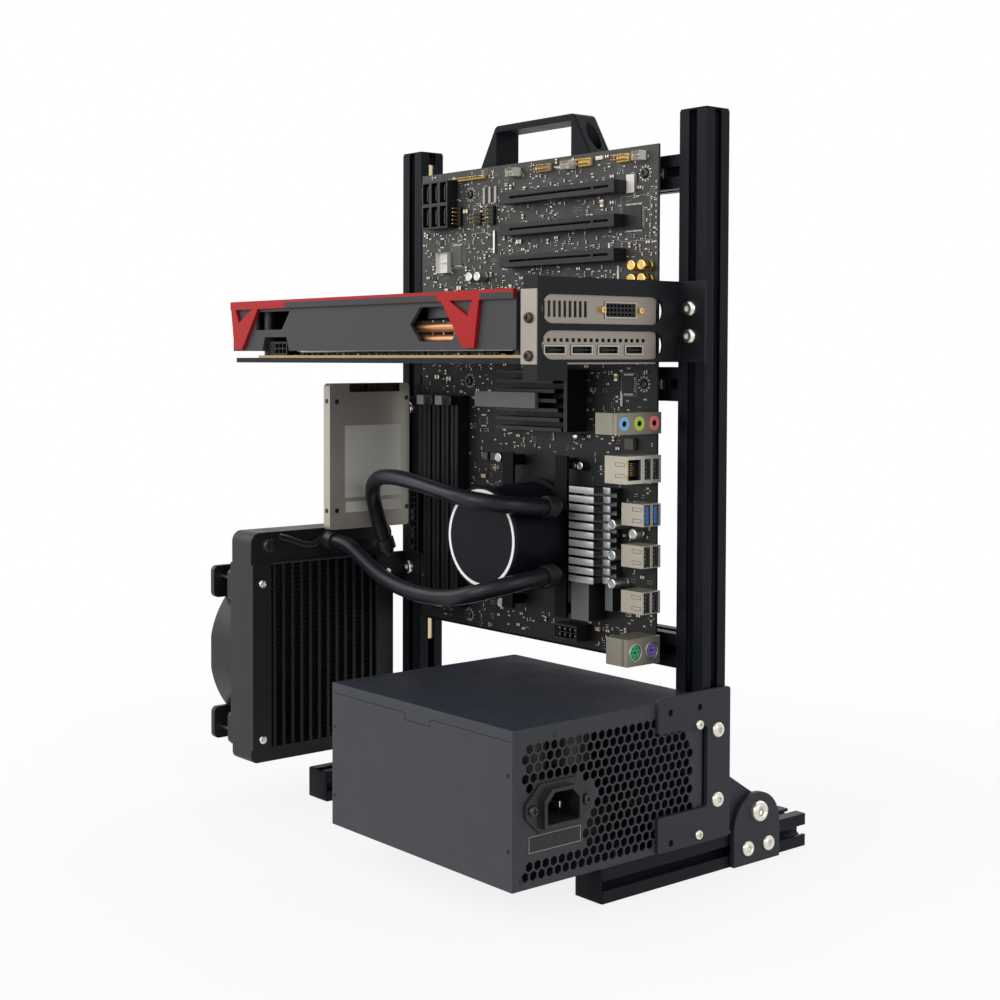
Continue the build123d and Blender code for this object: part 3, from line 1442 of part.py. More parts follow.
def build_all():
    parts = build_frame()
    feet, screws, nuts = build_feet()
    parts.update(feet)
    small = []
    parts["carry_handle"], more_screws, more_nuts = build_handle()
    screws += more_screws
    nuts += more_nuts
    parts["psu_bracket"], more_screws, more_nuts, more_small = build_psu_bracket()
    screws += more_screws
    nuts += more_nuts
    small += more_small
    parts["card_holder"], more_screws, more_nuts, more_small = build_card_holder()
    screws += more_screws
    nuts += more_nuts
    small += more_small
    tabs, parts["drive_bracket"], more_screws, more_nuts, more_small = build_left_brackets()
    parts["radiator_brackets"] = tabs
    screws += more_screws
    nuts += more_nuts
    small += more_small
    board, more_nuts, more_small = build_board()
    parts.update(board)
    nuts += more_nuts
    small += more_small
    parts.update(build_pump())
    cooler, more_small = build_radiator()
    parts.update(cooler)
    small += more_small
    parts.update(build_hoses(parts["pump_body"]))
    parts["solid_state_drive"] = build_drive()
    parts.update(build_card())
    parts.update(build_supply())
    small += inlet_screws()
    parts["frame_screws"] = group(screws)
    parts["slot_nuts"] = group(nuts)
    parts["small_screws"] = group(small)
    return parts


# The origin is under the middle of the whole bench.
x_low = fan_left - small_head_height
x_high = right_outer + plate_thick + pivot_head_height
y_high = foot_length - foot_reach
origin = Pos(-(x_low + x_high) / 2, -(psu_front + y_high) / 2, 0)

os.makedirs("parts", exist_ok=True)
for name, shape in build_all().items():
    export_step(origin * shape, f"parts/{name}.step")
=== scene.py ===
import math
import random

import bmesh
import bpy
from mathutils import Matrix, Vector


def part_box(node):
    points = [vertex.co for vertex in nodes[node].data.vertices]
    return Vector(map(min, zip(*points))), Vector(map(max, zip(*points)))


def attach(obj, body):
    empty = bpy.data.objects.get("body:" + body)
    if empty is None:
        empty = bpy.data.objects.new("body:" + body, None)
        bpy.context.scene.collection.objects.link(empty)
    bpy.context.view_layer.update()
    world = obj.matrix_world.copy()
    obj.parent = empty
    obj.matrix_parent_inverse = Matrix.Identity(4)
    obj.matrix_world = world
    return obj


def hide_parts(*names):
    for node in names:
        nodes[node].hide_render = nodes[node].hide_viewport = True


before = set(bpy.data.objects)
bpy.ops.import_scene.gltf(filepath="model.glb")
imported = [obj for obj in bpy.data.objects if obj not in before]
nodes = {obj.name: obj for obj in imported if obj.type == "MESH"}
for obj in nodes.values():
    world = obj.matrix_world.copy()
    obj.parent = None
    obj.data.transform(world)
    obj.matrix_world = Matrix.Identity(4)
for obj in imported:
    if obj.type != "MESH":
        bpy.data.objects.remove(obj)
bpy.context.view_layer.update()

scene = bpy.context.scene
mm = 0.001
draw = random.Random(11)
bothWays = (-1, 1)
quarterTurn = math.pi / 2
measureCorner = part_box("right_upright")[0]  # sizes below are in mm from this upright's inner front corner
print("frame loaded:", len(nodes), "nodes")


def spot(x, y, z):
    return Vector((measureCorner.x + x * mm, measureCorner.y + y * mm, z * mm))


def measured(place):
    # the same the other way: a place in the frame as mm from the corner
    return Vector(((place.x - measureCorner.x) / mm, (place.y - measureCorner.y) / mm, place.z / mm))


def localBox(node):
    low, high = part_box(node)
    return measured(low), measured(high)


# Node helpers
def feed(tree, socket, value):
    # a socket takes a link or a constant
    if isinstance(value, bpy.types.NodeSocket):
        tree.links.new(value, socket)
    else:
        socket.default_value = value


def addNode(tree, kind, inputs=None, **values):
    node = tree.nodes.new(kind)
    for key, value in values.items():
        setattr(node, key, value)
    for key, value in (inputs or {}).items():
        feed(tree, node.inputs[key], value)
    return node


def mathNode(tree, operation, first, second):
    return addNode(tree, "ShaderNodeMath", {0: first, 1: second}, operation=operation).outputs["Value"]


def joinMasks(tree, operation, *masks):
    joined = masks[0]
    for mask in masks[1:]:
        joined = mathNode(tree, operation, joined, mask)
    return joined


def mixColors(tree, factor, first, second):
    colors = [(*color, 1) if isinstance(color, tuple) else color for color in (first, second)]
    inputs = {0: factor, 6: colors[0], 7: colors[1]}
    return addNode(tree, "ShaderNodeMix", inputs, data_type="RGBA").outputs[2]


def newMaterial(name):
    material = bpy.data.materials.new(name)
    material.use_nodes = True
    return material, material.node_tree, material.node_tree.nodes["Principled BSDF"]


# Camera, floor and light
cameraView = {
    "at": (626.38, -718.94, 301.92), "pitch": 1.94, "yaw": 53.1, "lens": 57.24, "shift": (0.161, -0.089),
    "near": 0.02,
}
studio = {
    "white": (1.0, 1.0, 1.0, 1.0), "skyLight": 0.34,
    "floorSize": 6.0, "floorLift": 0.84, "fadeStart": 0.2, "fadeEnd": 0.75,
    "floorLook": {"Base Color": (0.94, 0.94, 0.935, 1.0), "Roughness": 0.6, "Specular IOR Level": 0.15},
    "lamps": (
        ("keyLamp", (-0.3, -2.2, 1.0), (0.0, 0.0, 0.2), 1.6, 36.0),
        ("sideLamp", (2.2, -0.3, 1.1), (0.1, 0.0, 0.2), 1.3, 13.0),
        ("leftLamp", (-1.9, -1.0, 1.2), (0.0, 0.0, 0.2), 1.4, 10.0),
        ("topLamp", (-0.1, 0.3, 2.4), (0.0, 0.0, 0.0), 1.6, 3.5),
        ("backLamp", (-0.5, 2.0, 1.4), (0.0, 0.0, 0.2), 1.4, 14.0),
    ),
}


def addCamera():
    lens = bpy.data.cameras.new("photoCamera")
    lens.lens = cameraView["lens"]
    lens.shift_x, lens.shift_y = cameraView["shift"]
    lens.clip_start = cameraView["near"]
    camera = bpy.data.objects.new("photoCamera", lens)
    camera.location = spot(*cameraView["at"])
    camera.rotation_euler = (math.radians(90 - cameraView["pitch"]), 0, math.radians(cameraView["yaw"]))
    scene.collection.objects.link(camera)
    scene.camera = camera


def seenMask(tree):
    # 1 for rays that show the backdrop: the camera's own, and those by way of metal or glass
    path = addNode(tree, "ShaderNodeLightPath").outputs
    rays = [path[label] for label in ("Is Camera Ray", "Is Glossy Ray", "Is Transmission Ray")]
    return joinMasks(tree, "MAXIMUM", *rays)


def floorMaterial():
    material, tree, shader = newMaterial("paleFloor")
    for label, value in studio["floorLook"].items():
        shader.inputs[label].default_value = value
    # part of the floor's white is its own, so the shadow stays soft
    glow = addNode(tree, "ShaderNodeEmission", {"Color": studio["white"]}).outputs["Emission"]
    lift = mathNode(tree, "MULTIPLY", seenMask(tree), studio["floorLift"])
    lit = addNode(tree, "ShaderNodeMixShader", {0: lift, 1: shader.outputs["BSDF"], 2: glow})
    # the floor thins out far from the bench, so no horizon line shows
    coordinate = addNode(tree, "ShaderNodeTexCoord").outputs["Object"]
    distance = addNode(tree, "ShaderNodeVectorMath", {0: coordinate}, operation="LENGTH").outputs["Value"]
    span = {"Value": distance, "From Min": studio["fadeStart"], "From Max": studio["fadeEnd"]}
    fade = addNode(tree, "ShaderNodeMapRange", span, interpolation_type="SMOOTHSTEP").outputs["Result"]
    clear = addNode(tree, "ShaderNodeBsdfTransparent")
    mix = addNode(tree, "ShaderNodeMixShader", {0: fade, 1: lit.outputs["Shader"], 2: clear.outputs["BSDF"]})
    tree.links.new(mix.outputs["Shader"], tree.nodes["Material Output"].inputs["Surface"])
    return material


def addFloor():
    bm = bmesh.new()
    bmesh.ops.create_grid(bm, x_segments=1, y_segments=1, size=studio["floorSize"] / 2)
    mesh = bpy.data.meshes.new("floor")
    bm.to_mesh(mesh)
    bm.free()
    mesh.materials.append(floorMaterial())
    floor = bpy.data.objects.new("floor", mesh)
    scene.collection.objects.link(floor)


def addLight():
    world = bpy.data.worlds.new("studioWorld")
    scene.world = world
    world.use_nodes = True
    tree = world.node_tree
    light = tree.nodes["Background"]
    light.inputs["Color"].default_value = studio["white"]
    light.inputs["Strength"].default_value = studio["skyLight"]
    seen = addNode(tree, "ShaderNodeBackground", {"Color": studio["white"]}).outputs["Background"]
    mix = addNode(tree, "ShaderNodeMixShader", {0: seenMask(tree), 1: light.outputs["Background"], 2: seen})
    tree.links.new(mix.outputs["Shader"], tree.nodes["World Output"].inputs["Surface"])
    for name, place, target, size, power in studio["lamps"]:
        lamp = bpy.data.lights.new(name, "AREA")
        lamp.size = size
        lamp.energy = power
        lampObject = bpy.data.objects.new(name, lamp)
        lampObject.location = place
        lampObject.rotation_euler = (Vector(target) - Vector(place)).to_track_quat("-Z", "Y").to_euler()
        scene.collection.objects.link(lampObject)


scene.view_settings.view_transform = "Standard"
addCamera()
addFloor()
addLight()
print("studio ready")


# Shared surface effects
grainLook = {"fineDetail": 2.0, "slowScale": 38.0, "slowDetail": 4.0}
edgeTurn = {"From Min": 0.98, "From Max": 0.72, "To Min": 0.0, "To Max": 1.0}


def newGroup(name, inputs, outputs):
    group = bpy.data.node_groups.new(name, "ShaderNodeTree")
    for label, kind in inputs:
        group.interface.new_socket(label, in_out="INPUT", socket_type=kind)
    for label, kind in outputs:
        group.interface.new_socket(label, in_out="OUTPUT", socket_type=kind)
    return group, addNode(group, "NodeGroupInput").outputs, addNode(group, "NodeGroupOutput").inputs


def softEdgeGroup():
    # rounded edge normals, and a mask of where they turn
    group, given, out = newGroup("softEdge", (("Radius", "NodeSocketFloat"),),
                                 (("Normal", "NodeSocketVector"), ("Edge", "NodeSocketFloat")))
    soft = addNode(group, "ShaderNodeBevel", {"Radius": given["Radius"]}, samples=4).outputs["Normal"]
    flat = addNode(group, "ShaderNodeNewGeometry").outputs["Normal"]
    turn = addNode(group, "ShaderNodeVectorMath", {0: soft, 1: flat}, operation="DOT_PRODUCT")
    mask = addNode(group, "ShaderNodeMapRange", {"Value": turn.outputs["Value"], **edgeTurn})
    feed(group, out["Normal"], soft)
    feed(group, out["Edge"], mask.outputs["Result"])
    return group


def surfaceGrainGroup():
    # fine bump height and slow blotches, from one coordinate
    inputs = (("Vector", "NodeSocketVector"), ("Scale", "NodeSocketFloat"))
    outputs = (("Height", "NodeSocketFloat"), ("Blotch", "NodeSocketFloat"))
    group, given, out = newGroup("surfaceGrain", inputs, outputs)
    fine = addNode(group, "ShaderNodeTexNoise", {"Vector": given["Vector"], "Scale": given["Scale"],
                                                 "Detail": grainLook["fineDetail"]})
    slow = addNode(group, "ShaderNodeTexNoise", {"Vector": given["Vector"], "Scale": grainLook["slowScale"],
                                                 "Detail": grainLook["slowDetail"]})
    feed(group, out["Height"], fine.outputs["Fac"])
    feed(group, out["Blotch"], slow.outputs["Fac"])
    return group


softEdge = softEdgeGroup()
surfaceGrain = surfaceGrainGroup()
finishHabits = {"edgeLift": 2.2, "gloss": {"From Min": 0.3, "From Max": 0.7}, "reliefDepth": 0.0003}


def scaled(color, share):
    return tuple(min(1.0, part * share) for part in color)


def makeFinish(name, color, roughness, metallic=0.0, edgeColor=None, edge=0.45, radius=0.0005, grain=1800.0,
               bump=0.06, blotch=0.14, stretch=(1.0, 1.0, 1.0), specular=0.5, paint=None):
    # paint, when given, takes the tree and the object coordinate and returns the base colour's socket
    material, tree, shader = newMaterial(name)
    shader.inputs["Metallic"].default_value = metallic
    shader.inputs["Specular IOR Level"].default_value = specular
    coordinate = addNode(tree, "ShaderNodeTexCoord").outputs["Object"]
    mapped = addNode(tree, "ShaderNodeMapping", {"Vector": coordinate, "Scale": stretch}).outputs["Vector"]
    inputs = {"Vector": mapped, "Scale": grain}
    texture = addNode(tree, "ShaderNodeGroup", inputs, node_tree=surfaceGrain).outputs
    corner = addNode(tree, "ShaderNodeGroup", {"Radius": radius}, node_tree=softEdge).outputs
    if paint:
        base = paint(tree, coordinate)
    else:
        base = mixColors(tree, texture["Blotch"], scaled(color, 1 - blotch), scaled(color, 1 + blotch))
    # the lighter edge colour is partly wear and partly a painted highlight along the rounded edges
    wearAndHighlight = mathNode(tree, "MULTIPLY", corner["Edge"], edge)
    base = mixColors(tree, wearAndHighlight, base, edgeColor or scaled(color, finishHabits["edgeLift"]))
    feed(tree, shader.inputs["Base Color"], base)
    gloss = addNode(tree, "ShaderNodeMapRange", {
        "Value": texture["Blotch"], **finishHabits["gloss"],
        "To Min": roughness * (1 - blotch), "To Max": roughness * (1 + blotch)})
    feed(tree, shader.inputs["Roughness"], gloss.outputs["Result"])
    relief = addNode(tree, "ShaderNodeBump", {"Strength": bump, "Distance": finishHabits["reliefDepth"],
                                              "Height": texture["Height"], "Normal": corner["Normal"]})
    feed(tree, shader.inputs["Normal"], relief.outputs["Normal"])
    return material


squareOn = 0.9


def faceMask(tree, axis, way):
    # 1 on faces that look along an axis, forward or backward
    normal = addNode(tree, "ShaderNodeNewGeometry").outputs["True Normal"]
    split = addNode(tree, "ShaderNodeSeparateXYZ", {"Vector": normal})
    return mathNode(tree, "GREATER_THAN" if way > 0 else "LESS_THAN", split.outputs[axis], way * squareOn)


def placeMask(tree, coordinate, axis, place, above):
    # 1 on one side of a plane across the bench, its place in mm
    split = addNode(tree, "ShaderNodeSeparateXYZ", {"Vector": coordinate})
    limit = spot(place, place, place)["XYZ".index(axis)]
    return mathNode(tree, "GREATER_THAN" if above else "LESS_THAN", split.outputs[axis], limit)


boardTones = {
    "cells": 95.0, "runs": {"Scale": 240.0, "Distortion": 2.0, "Detail": 0.0}, "runLimit": 0.78,
    "cardShadowBelow": 300.0,
    "field": ((0.017, 0.017, 0.018), (0.040, 0.039, 0.039)), "run": (0.052, 0.050, 0.046),
    # plain: the board's colours darkened as painted shadow, used below the card
    "plain": ((0.006, 0.006, 0.007), (0.014, 0.014, 0.014)),
}


def boardPaint(tree, coordinate):
    # solder mask with copper runs showing faintly through it
    cells = addNode(tree, "ShaderNodeTexVoronoi", {"Vector": coordinate, "Scale": boardTones["cells"]},
                    distance="MANHATTAN")
    runs = addNode(tree, "ShaderNodeTexWave", {"Vector": coordinate, **boardTones["runs"]}, wave_type="BANDS",
                   bands_direction="DIAGONAL")
    field = mixColors(tree, cells.outputs["Distance"], *boardTones["field"])
    lines = mathNode(tree, "GREATER_THAN", runs.outputs["Fac"], boardTones["runLimit"])
    busy = mixColors(tree, lines, field, boardTones["run"])
    # the half below the card is painted darker, as the card's shadow falls there
    plain = mixColors(tree, lines, *boardTones["plain"])
    return mixColors(tree, placeMask(tree, coordinate, "Z", boardTones["cardShadowBelow"], False), busy, plain)


cardTones = {"laminate": (0.40, 0.27, 0.10), "mask": (0.02, 0.017, 0.014), "fin": (0.40, 0.40, 0.39),
             "pipe": (0.52, 0.25, 0.13), "pipeDeep": 2.95, "socketsEnd": -150.0, "plated": (0.48, 0.45, 0.40),
             "socket": (0.012, 0.012, 0.013)}


def cardBoardPaint(tree, coordinate):
    # dark faces, bare amber laminate on the cut edges
    flat = joinMasks(tree, "MAXIMUM", faceMask(tree, "Z", 1), faceMask(tree, "Z", -1))
    return mixColors(tree, flat, cardTones["laminate"], cardTones["mask"])


def cardSinkPaint(tree, coordinate):
    # bare fins, copper where the pipes stand out in front of them
    front = localBox("card_heatsink")[0].y + cardTones["pipeDeep"]
    pipes = placeMask(tree, coordinate, "Y", front, False)
    return mixColors(tree, pipes, cardTones["fin"], cardTones["pipe"])


def cardSocketPaint(tree, coordinate):
    # plated video sockets, and the black power socket at the far end
    far = placeMask(tree, coordinate, "X", cardTones["socketsEnd"], False)
    return mixColors(tree, far, cardTones["plated"], cardTones["socket"])


trimTones = {"lip": 337.6, "between": (-225.0, -72.0), "end": -35.0, "red": (0.38, 0.009, 0.010),
             "dark": (0.040, 0.040, 0.044)}


def trimPaint(tree, coordinate):
    # red, with the rail's front dark below its lip away from the two triangles
    front = joinMasks(tree, "MULTIPLY", faceMask(tree, "Y", -1),
                      placeMask(tree, coordinate, "Z", trimTones["lip"], False))
    left, right = trimTones["between"]
    between = joinMasks(tree, "MULTIPLY", placeMask(tree, coordinate, "X", left, True),
                        placeMask(tree, coordinate, "X", right, False))
    end = placeMask(tree, coordinate, "X", trimTones["end"], True)
    dark = joinMasks(tree, "MULTIPLY", front, joinMasks(tree, "MAXIMUM", between, end))
    return mixColors(tree, dark, trimTones["red"], trimTones["dark"])


def portPaint(tree, coordinate):
    # warm plated shells, with a painted highlight on the faces round the mouths, which look along +X
    shell, mouth = (0.40, 0.37, 0.30), (0.60, 0.58, 0.52)
    return mixColors(tree, faceMask(tree, "X", 1), shell, mouth)


regulatorTones = {"footBelow": 165.5, "fins": ((0.010, 0.010, 0.011), (0.46, 0.475, 0.49)),
                  "foot": ((0.012, 0.012, 0.013), (0.115, 0.118, 0.122))}


def regulatorPaint(tree, coordinate):
    # black fin sides and bright fin ends facing -Y, on a grey foot whose faces that don't look along -Y are
    # painted dark as shade
    fins = mixColors(tree, faceMask(tree, "Y", -1), *regulatorTones["fins"])
    foot = mixColors(tree, faceMask(tree, "Y", -1), *regulatorTones["foot"])
    return mixColors(tree, placeMask(tree, coordinate, "Z", regulatorTones["footBelow"], False), fins, foot)


chipsetTones = {"plateFront": -25.05, "fins": ((0.006, 0.006, 0.007), (0.040, 0.040, 0.042)),
                "plate": (0.17, 0.17, 0.165)}


def chipsetPaint(tree, coordinate):
    # black fins, paler on their ends that look along -Y, under a bare bright plate
    fins = mixColors(tree, faceMask(tree, "Y", -1), *chipsetTones["fins"])
    plate = placeMask(tree, coordinate, "Y", chipsetTones["plateFront"], False)
    return mixColors(tree, plate, fins, chipsetTones["plate"])


radiatorTones = {"side": 14.0, "tank": (0.018, 0.019, 0.022), "core": (0.0055, 0.006, 0.0075)}


def radiatorPaint(tree, coordinate):
    # grey painted tanks and side plates, with painted shade among the tubes and on the faces that look along
    # +X
    low, high = localBox("radiator")
    core = joinMasks(tree, "MULTIPLY", placeMask(tree, coordinate, "Y", low.y + radiatorTones["side"], True),
                     placeMask(tree, coordinate, "Y", high.y - radiatorTones["side"], False))
    dark = joinMasks(tree, "MAXIMUM", core, faceMask(tree, "X", 1))
    return mixColors(tree, dark, radiatorTones["tank"], radiatorTones["core"])


supplyTones = {
    # the top is the side's powder coat darkened and blued as painted shade
    "side": (0.050, 0.053, 0.061), "top": (0.021, 0.024, 0.034), "rivet": (0.008, 0.008, 0.009),
    "rivetRadius": 1.1,
    "rivets": ((-135.8, 79.4), (-135.8, 37.8), (16.8, 81.8), (17.0, 41.5)),
}


def supplyCoatShadedTop(tree, coordinate):
    # powder coat, with painted shade making the cover's top darker and bluer, and flush rivets in the side
    coatShadedOnTop = mixColors(tree, faceMask(tree, "Z", 1), supplyTones["side"], supplyTones["top"])
    side = localBox("psu_case")[0].y
    rivets = []
    for x, z in supplyTones["rivets"]:
        ends = {0: coordinate, 1: spot(x, side, z)}
        apart = addNode(tree, "ShaderNodeVectorMath", ends, operation="DISTANCE")
        rivets.append(mathNode(tree, "LESS_THAN", apart.outputs["Value"], supplyTones["rivetRadius"] * mm))
    return mixColors(tree, joinMasks(tree, "MAXIMUM", *rivets), coatShadedOnTop, supplyTones["rivet"])


driveTones = {
    "notch": (("X", -245.65, True), ("Y", -58.55, True), ("Y", -14.45, False), ("Z", 277.95, True)),
    "case": (0.43, 0.40, 0.345), "dark": (0.014, 0.011, 0.009),
}


def drivePaint(tree, coordinate):
    # bare case, dark inside the connector notch at its top
    masks = [placeMask(tree, coordinate, *limit) for limit in driveTones["notch"]]
    return mixColors(tree, joinMasks(tree, "MULTIPLY", *masks), driveTones["case"], driveTones["dark"])


finishLooks = {
    "blackSheet": dict(color=(0.0300, 0.0325, 0.0390), roughness=0.44, edgeColor=(0.075, 0.079, 0.094),
                       grain=1500.0, bump=0.12, specular=0.16),
    # the same black sheet as blackSheet, darkened as painted shade on the holder, brackets and back plates
    "holderSheetShaded": dict(color=(0.0105, 0.0115, 0.0140), roughness=0.44, edgeColor=(0.060, 0.063, 0.075),
                        grain=1500.0, bump=0.12, specular=0.14),
    "bracketBlack": dict(color=(0.004, 0.004, 0.005), roughness=0.45, bump=0.08, specular=0.12),
    "handleNylon": dict(color=(0.0065, 0.0075, 0.0105), roughness=0.50, radius=0.0009, grain=1100.0,
                        bump=0.16, specular=0.09),
    "brightScrew": dict(color=(0.72, 0.69, 0.62), roughness=0.22, metallic=1.0, edgeColor=(0.88, 0.85, 0.78),
                        radius=0.0002, grain=900.0, bump=0.03, blotch=0.08),
    "darkScrew": dict(color=(0.05, 0.047, 0.043), roughness=0.34, metallic=0.8, edgeColor=(0.30, 0.28, 0.25),
                      radius=0.0002, grain=900.0, bump=0.03, blotch=0.08),
    "nickelSheet": dict(color=(0.29, 0.262, 0.225), roughness=0.38, metallic=0.9,
                        edgeColor=(0.70, 0.67, 0.60), radius=0.0003, grain=700.0, bump=0.05, blotch=0.08),
    "portNickel": dict(color=(0.42, 0.39, 0.32), roughness=0.42, metallic=0.7, edgeColor=(0.66, 0.63, 0.55),
                       edge=0.35, radius=0.0003, grain=700.0, bump=0.05, paint=portPaint),
    # the same plated metal as portNickel, darkened as painted shade from below the card
    "portNickelShaded": dict(color=(0.26, 0.24, 0.195), roughness=0.44, metallic=0.7, edgeColor=(0.50, 0.47, 0.40),
                     edge=0.35, radius=0.0003, grain=700.0, bump=0.05),
    "cardSocket": dict(color=(0.42, 0.39, 0.33), roughness=0.40, metallic=0.6, edge=0.2, radius=0.0002,
                       paint=cardSocketPaint),
    "boardMask": dict(color=(0.024, 0.024, 0.025), roughness=0.42, edgeColor=(0.10, 0.08, 0.05), edge=0.3,
                      radius=0.0003, grain=900.0, bump=0.05, specular=0.3, paint=boardPaint),
    "socketBlack": dict(color=(0.010, 0.010, 0.011), roughness=0.34, edgeColor=(0.06, 0.06, 0.065),
                        radius=0.0004, grain=1300.0, bump=0.05, specular=0.3),
    "latchGrey": dict(color=(0.26, 0.26, 0.27), roughness=0.42, radius=0.0004, grain=1300.0, bump=0.05),
    "sinkDark": dict(color=(0.012, 0.012, 0.014), roughness=0.34, metallic=0.2, edgeColor=(0.14, 0.14, 0.145),
                     edge=0.4, radius=0.0004, specular=0.2, paint=chipsetPaint),
    "sinkGrey": dict(color=(0.30, 0.305, 0.31), roughness=0.38, metallic=0.2, edgeColor=(0.6, 0.6, 0.6),
                     edge=0.3, radius=0.0004, grain=800.0, bump=0.05, stretch=(0.05, 1.0, 1.0),
                     paint=regulatorPaint),
    "sinkBright": dict(color=(0.42, 0.43, 0.44), roughness=0.36, metallic=0.3, radius=0.0003, grain=800.0,
                       bump=0.05, stretch=(0.05, 1.0, 1.0)),
    "pumpGloss": dict(color=(0.0045, 0.0060, 0.0085), roughness=0.38, radius=0.0006, grain=900.0, bump=0.04,
                      specular=0.11),
    "hoseRubber": dict(color=(0.0085, 0.0098, 0.0135), roughness=0.33, radius=0.0004, grain=1500.0, bump=0.07,
                       specular=0.20),
    "coolerBlack": dict(color=(0.012, 0.012, 0.014), roughness=0.38, radius=0.0007, grain=1300.0, bump=0.08,
                        specular=0.3),
    "radiatorPaint": dict(color=(0.028, 0.029, 0.032), roughness=0.46, edge=0.3, radius=0.0007, grain=1300.0,
                          bump=0.10, specular=0.25, paint=radiatorPaint),
    # the fins' black is darker than the radiator's paint, as painted shade among the tubes
    "finBlackShaded": dict(color=(0.0035, 0.0035, 0.004), roughness=0.45, radius=0.0002, blotch=0.2, specular=0.12),
    "fanPlastic": dict(color=(0.011, 0.011, 0.012), roughness=0.40, radius=0.0006, grain=1400.0,
                       specular=0.28),
    "driveMetal": dict(color=(0.36, 0.335, 0.29), roughness=0.42, metallic=0.2, edgeColor=(0.50, 0.48, 0.43),
                       grain=1000.0, blotch=0.12, edge=0.3, paint=drivePaint),
    "shroudBlack": dict(color=(0.042, 0.042, 0.046), roughness=0.48, radius=0.0007, grain=1300.0, bump=0.10,
                        specular=0.25),
    "trimRed": dict(color=(0.44, 0.010, 0.011), roughness=0.40, edgeColor=(0.50, 0.03, 0.03), edge=0.2,
                    radius=0.0004, grain=1500.0, bump=0.04, blotch=0.06, specular=0.2, paint=trimPaint),
    "cardLaminate": dict(color=(0.02, 0.02, 0.02), roughness=0.42, edge=0.1, radius=0.0002,
                         paint=cardBoardPaint),
    "cardSink": dict(color=(0.5, 0.5, 0.5), roughness=0.34, metallic=0.9, edge=0.2, radius=0.0001,
                     paint=cardSinkPaint),
    "supplyPaint": dict(color=(0.050, 0.053, 0.061), roughness=0.52, edgeColor=(0.16, 0.162, 0.175), edge=0.3,
                        radius=0.0010, grain=1700.0, bump=0.20, specular=0.14, paint=supplyCoatShadedTop),
    "inletBlack": dict(color=(0.016, 0.016, 0.018), roughness=0.40, radius=0.0006, grain=1300.0,
                       specular=0.3),
    # the supply's board, darkened as painted shade inside the case
    "supplyBoardShaded": dict(color=(0.040, 0.030, 0.014), roughness=0.5, blotch=0.3),
    "partBlack": dict(color=(0.012, 0.012, 0.013), roughness=0.40, radius=0.0002, blotch=0.2, specular=0.3),
    "printPale": dict(color=(0.46, 0.45, 0.41), roughness=0.55, edge=0.1, radius=0.0001, blotch=0.12,
                      specular=0.2),
    "labelPale": dict(color=(0.78, 0.76, 0.70), roughness=0.42, edge=0.1, radius=0.0001, grain=600.0,
                      bump=0.02, blotch=0.06),
}
# anodised rails, each with its drawn lines along its own axis
railLook = dict(color=(0.0036, 0.0050, 0.0082), roughness=0.40, edgeColor=(0.050, 0.053, 0.064), edge=0.5,
                radius=0.0006, grain=1400.0, bump=0.10, specular=0.10)
drawnShare = 0.012
for name, along in (("railUpright", 2), ("railCross", 0), ("railFoot", 1)):
    stretch = tuple(drawnShare if axis == along else 1.0 for axis in range(3))
    finishLooks[name] = dict(railLook, stretch=stretch)
# plain metals and plastics: colour, roughness, metallic, radius and blotch
plainLooks = {
    "brassFitting": ((0.72, 0.60, 0.36), 0.30, 1.0, 0.0003, 0.1),
    "plainSteel": ((0.48, 0.47, 0.45), 0.34, 1.0, 0.0003, 0.1),
    "solderSilver": ((0.66, 0.64, 0.58), 0.28, 1.0, 0.0001, 0.1),
    "goldPlate": ((0.78, 0.55, 0.22), 0.28, 1.0, 0.0001, 0.1),
    "canSilver": ((0.55, 0.55, 0.53), 0.30, 1.0, 0.0002, 0.1),
    "canGold": ((0.68, 0.46, 0.15), 0.26, 1.0, 0.0002, 0.1),
    "ringWhite": ((0.88, 0.89, 0.88), 0.35, 0.0, 0.0003, 0.03),
    "ceramicTan": ((0.34, 0.24, 0.14), 0.45, 0.0, 0.0001, 0.2),
    "partWhite": ((0.74, 0.72, 0.65), 0.45, 0.0, 0.0002, 0.05),
    "partGrey": ((0.055, 0.052, 0.05), 0.45, 0.0, 0.0003, 0.15),
    "headerAmber": ((0.60, 0.42, 0.14), 0.42, 0.0, 0.0002, 0.1),
    "jackBlue": ((0.22, 0.52, 0.80), 0.35, 0.0, 0.0003, 0.05),
    "jackGreen": ((0.50, 0.66, 0.08), 0.35, 0.0, 0.0003, 0.05),
    "jackPink": ((0.78, 0.20, 0.20), 0.35, 0.0, 0.0003, 0.05),
    "portGreen": ((0.04, 0.46, 0.20), 0.40, 0.0, 0.0003, 0.05),
    "portPurple": ((0.21, 0.15, 0.48), 0.40, 0.0, 0.0003, 0.05),
    "portBlue": ((0.03, 0.16, 0.52), 0.36, 0.0, 0.0003, 0.05),
}
plainLabels = ("color", "roughness", "metallic", "radius", "blotch")
for name, values in plainLooks.items():
    finishLooks[name] = dict(zip(plainLabels, values))
finishes = {name: makeFinish(name, **look) for name, look in finishLooks.items()}

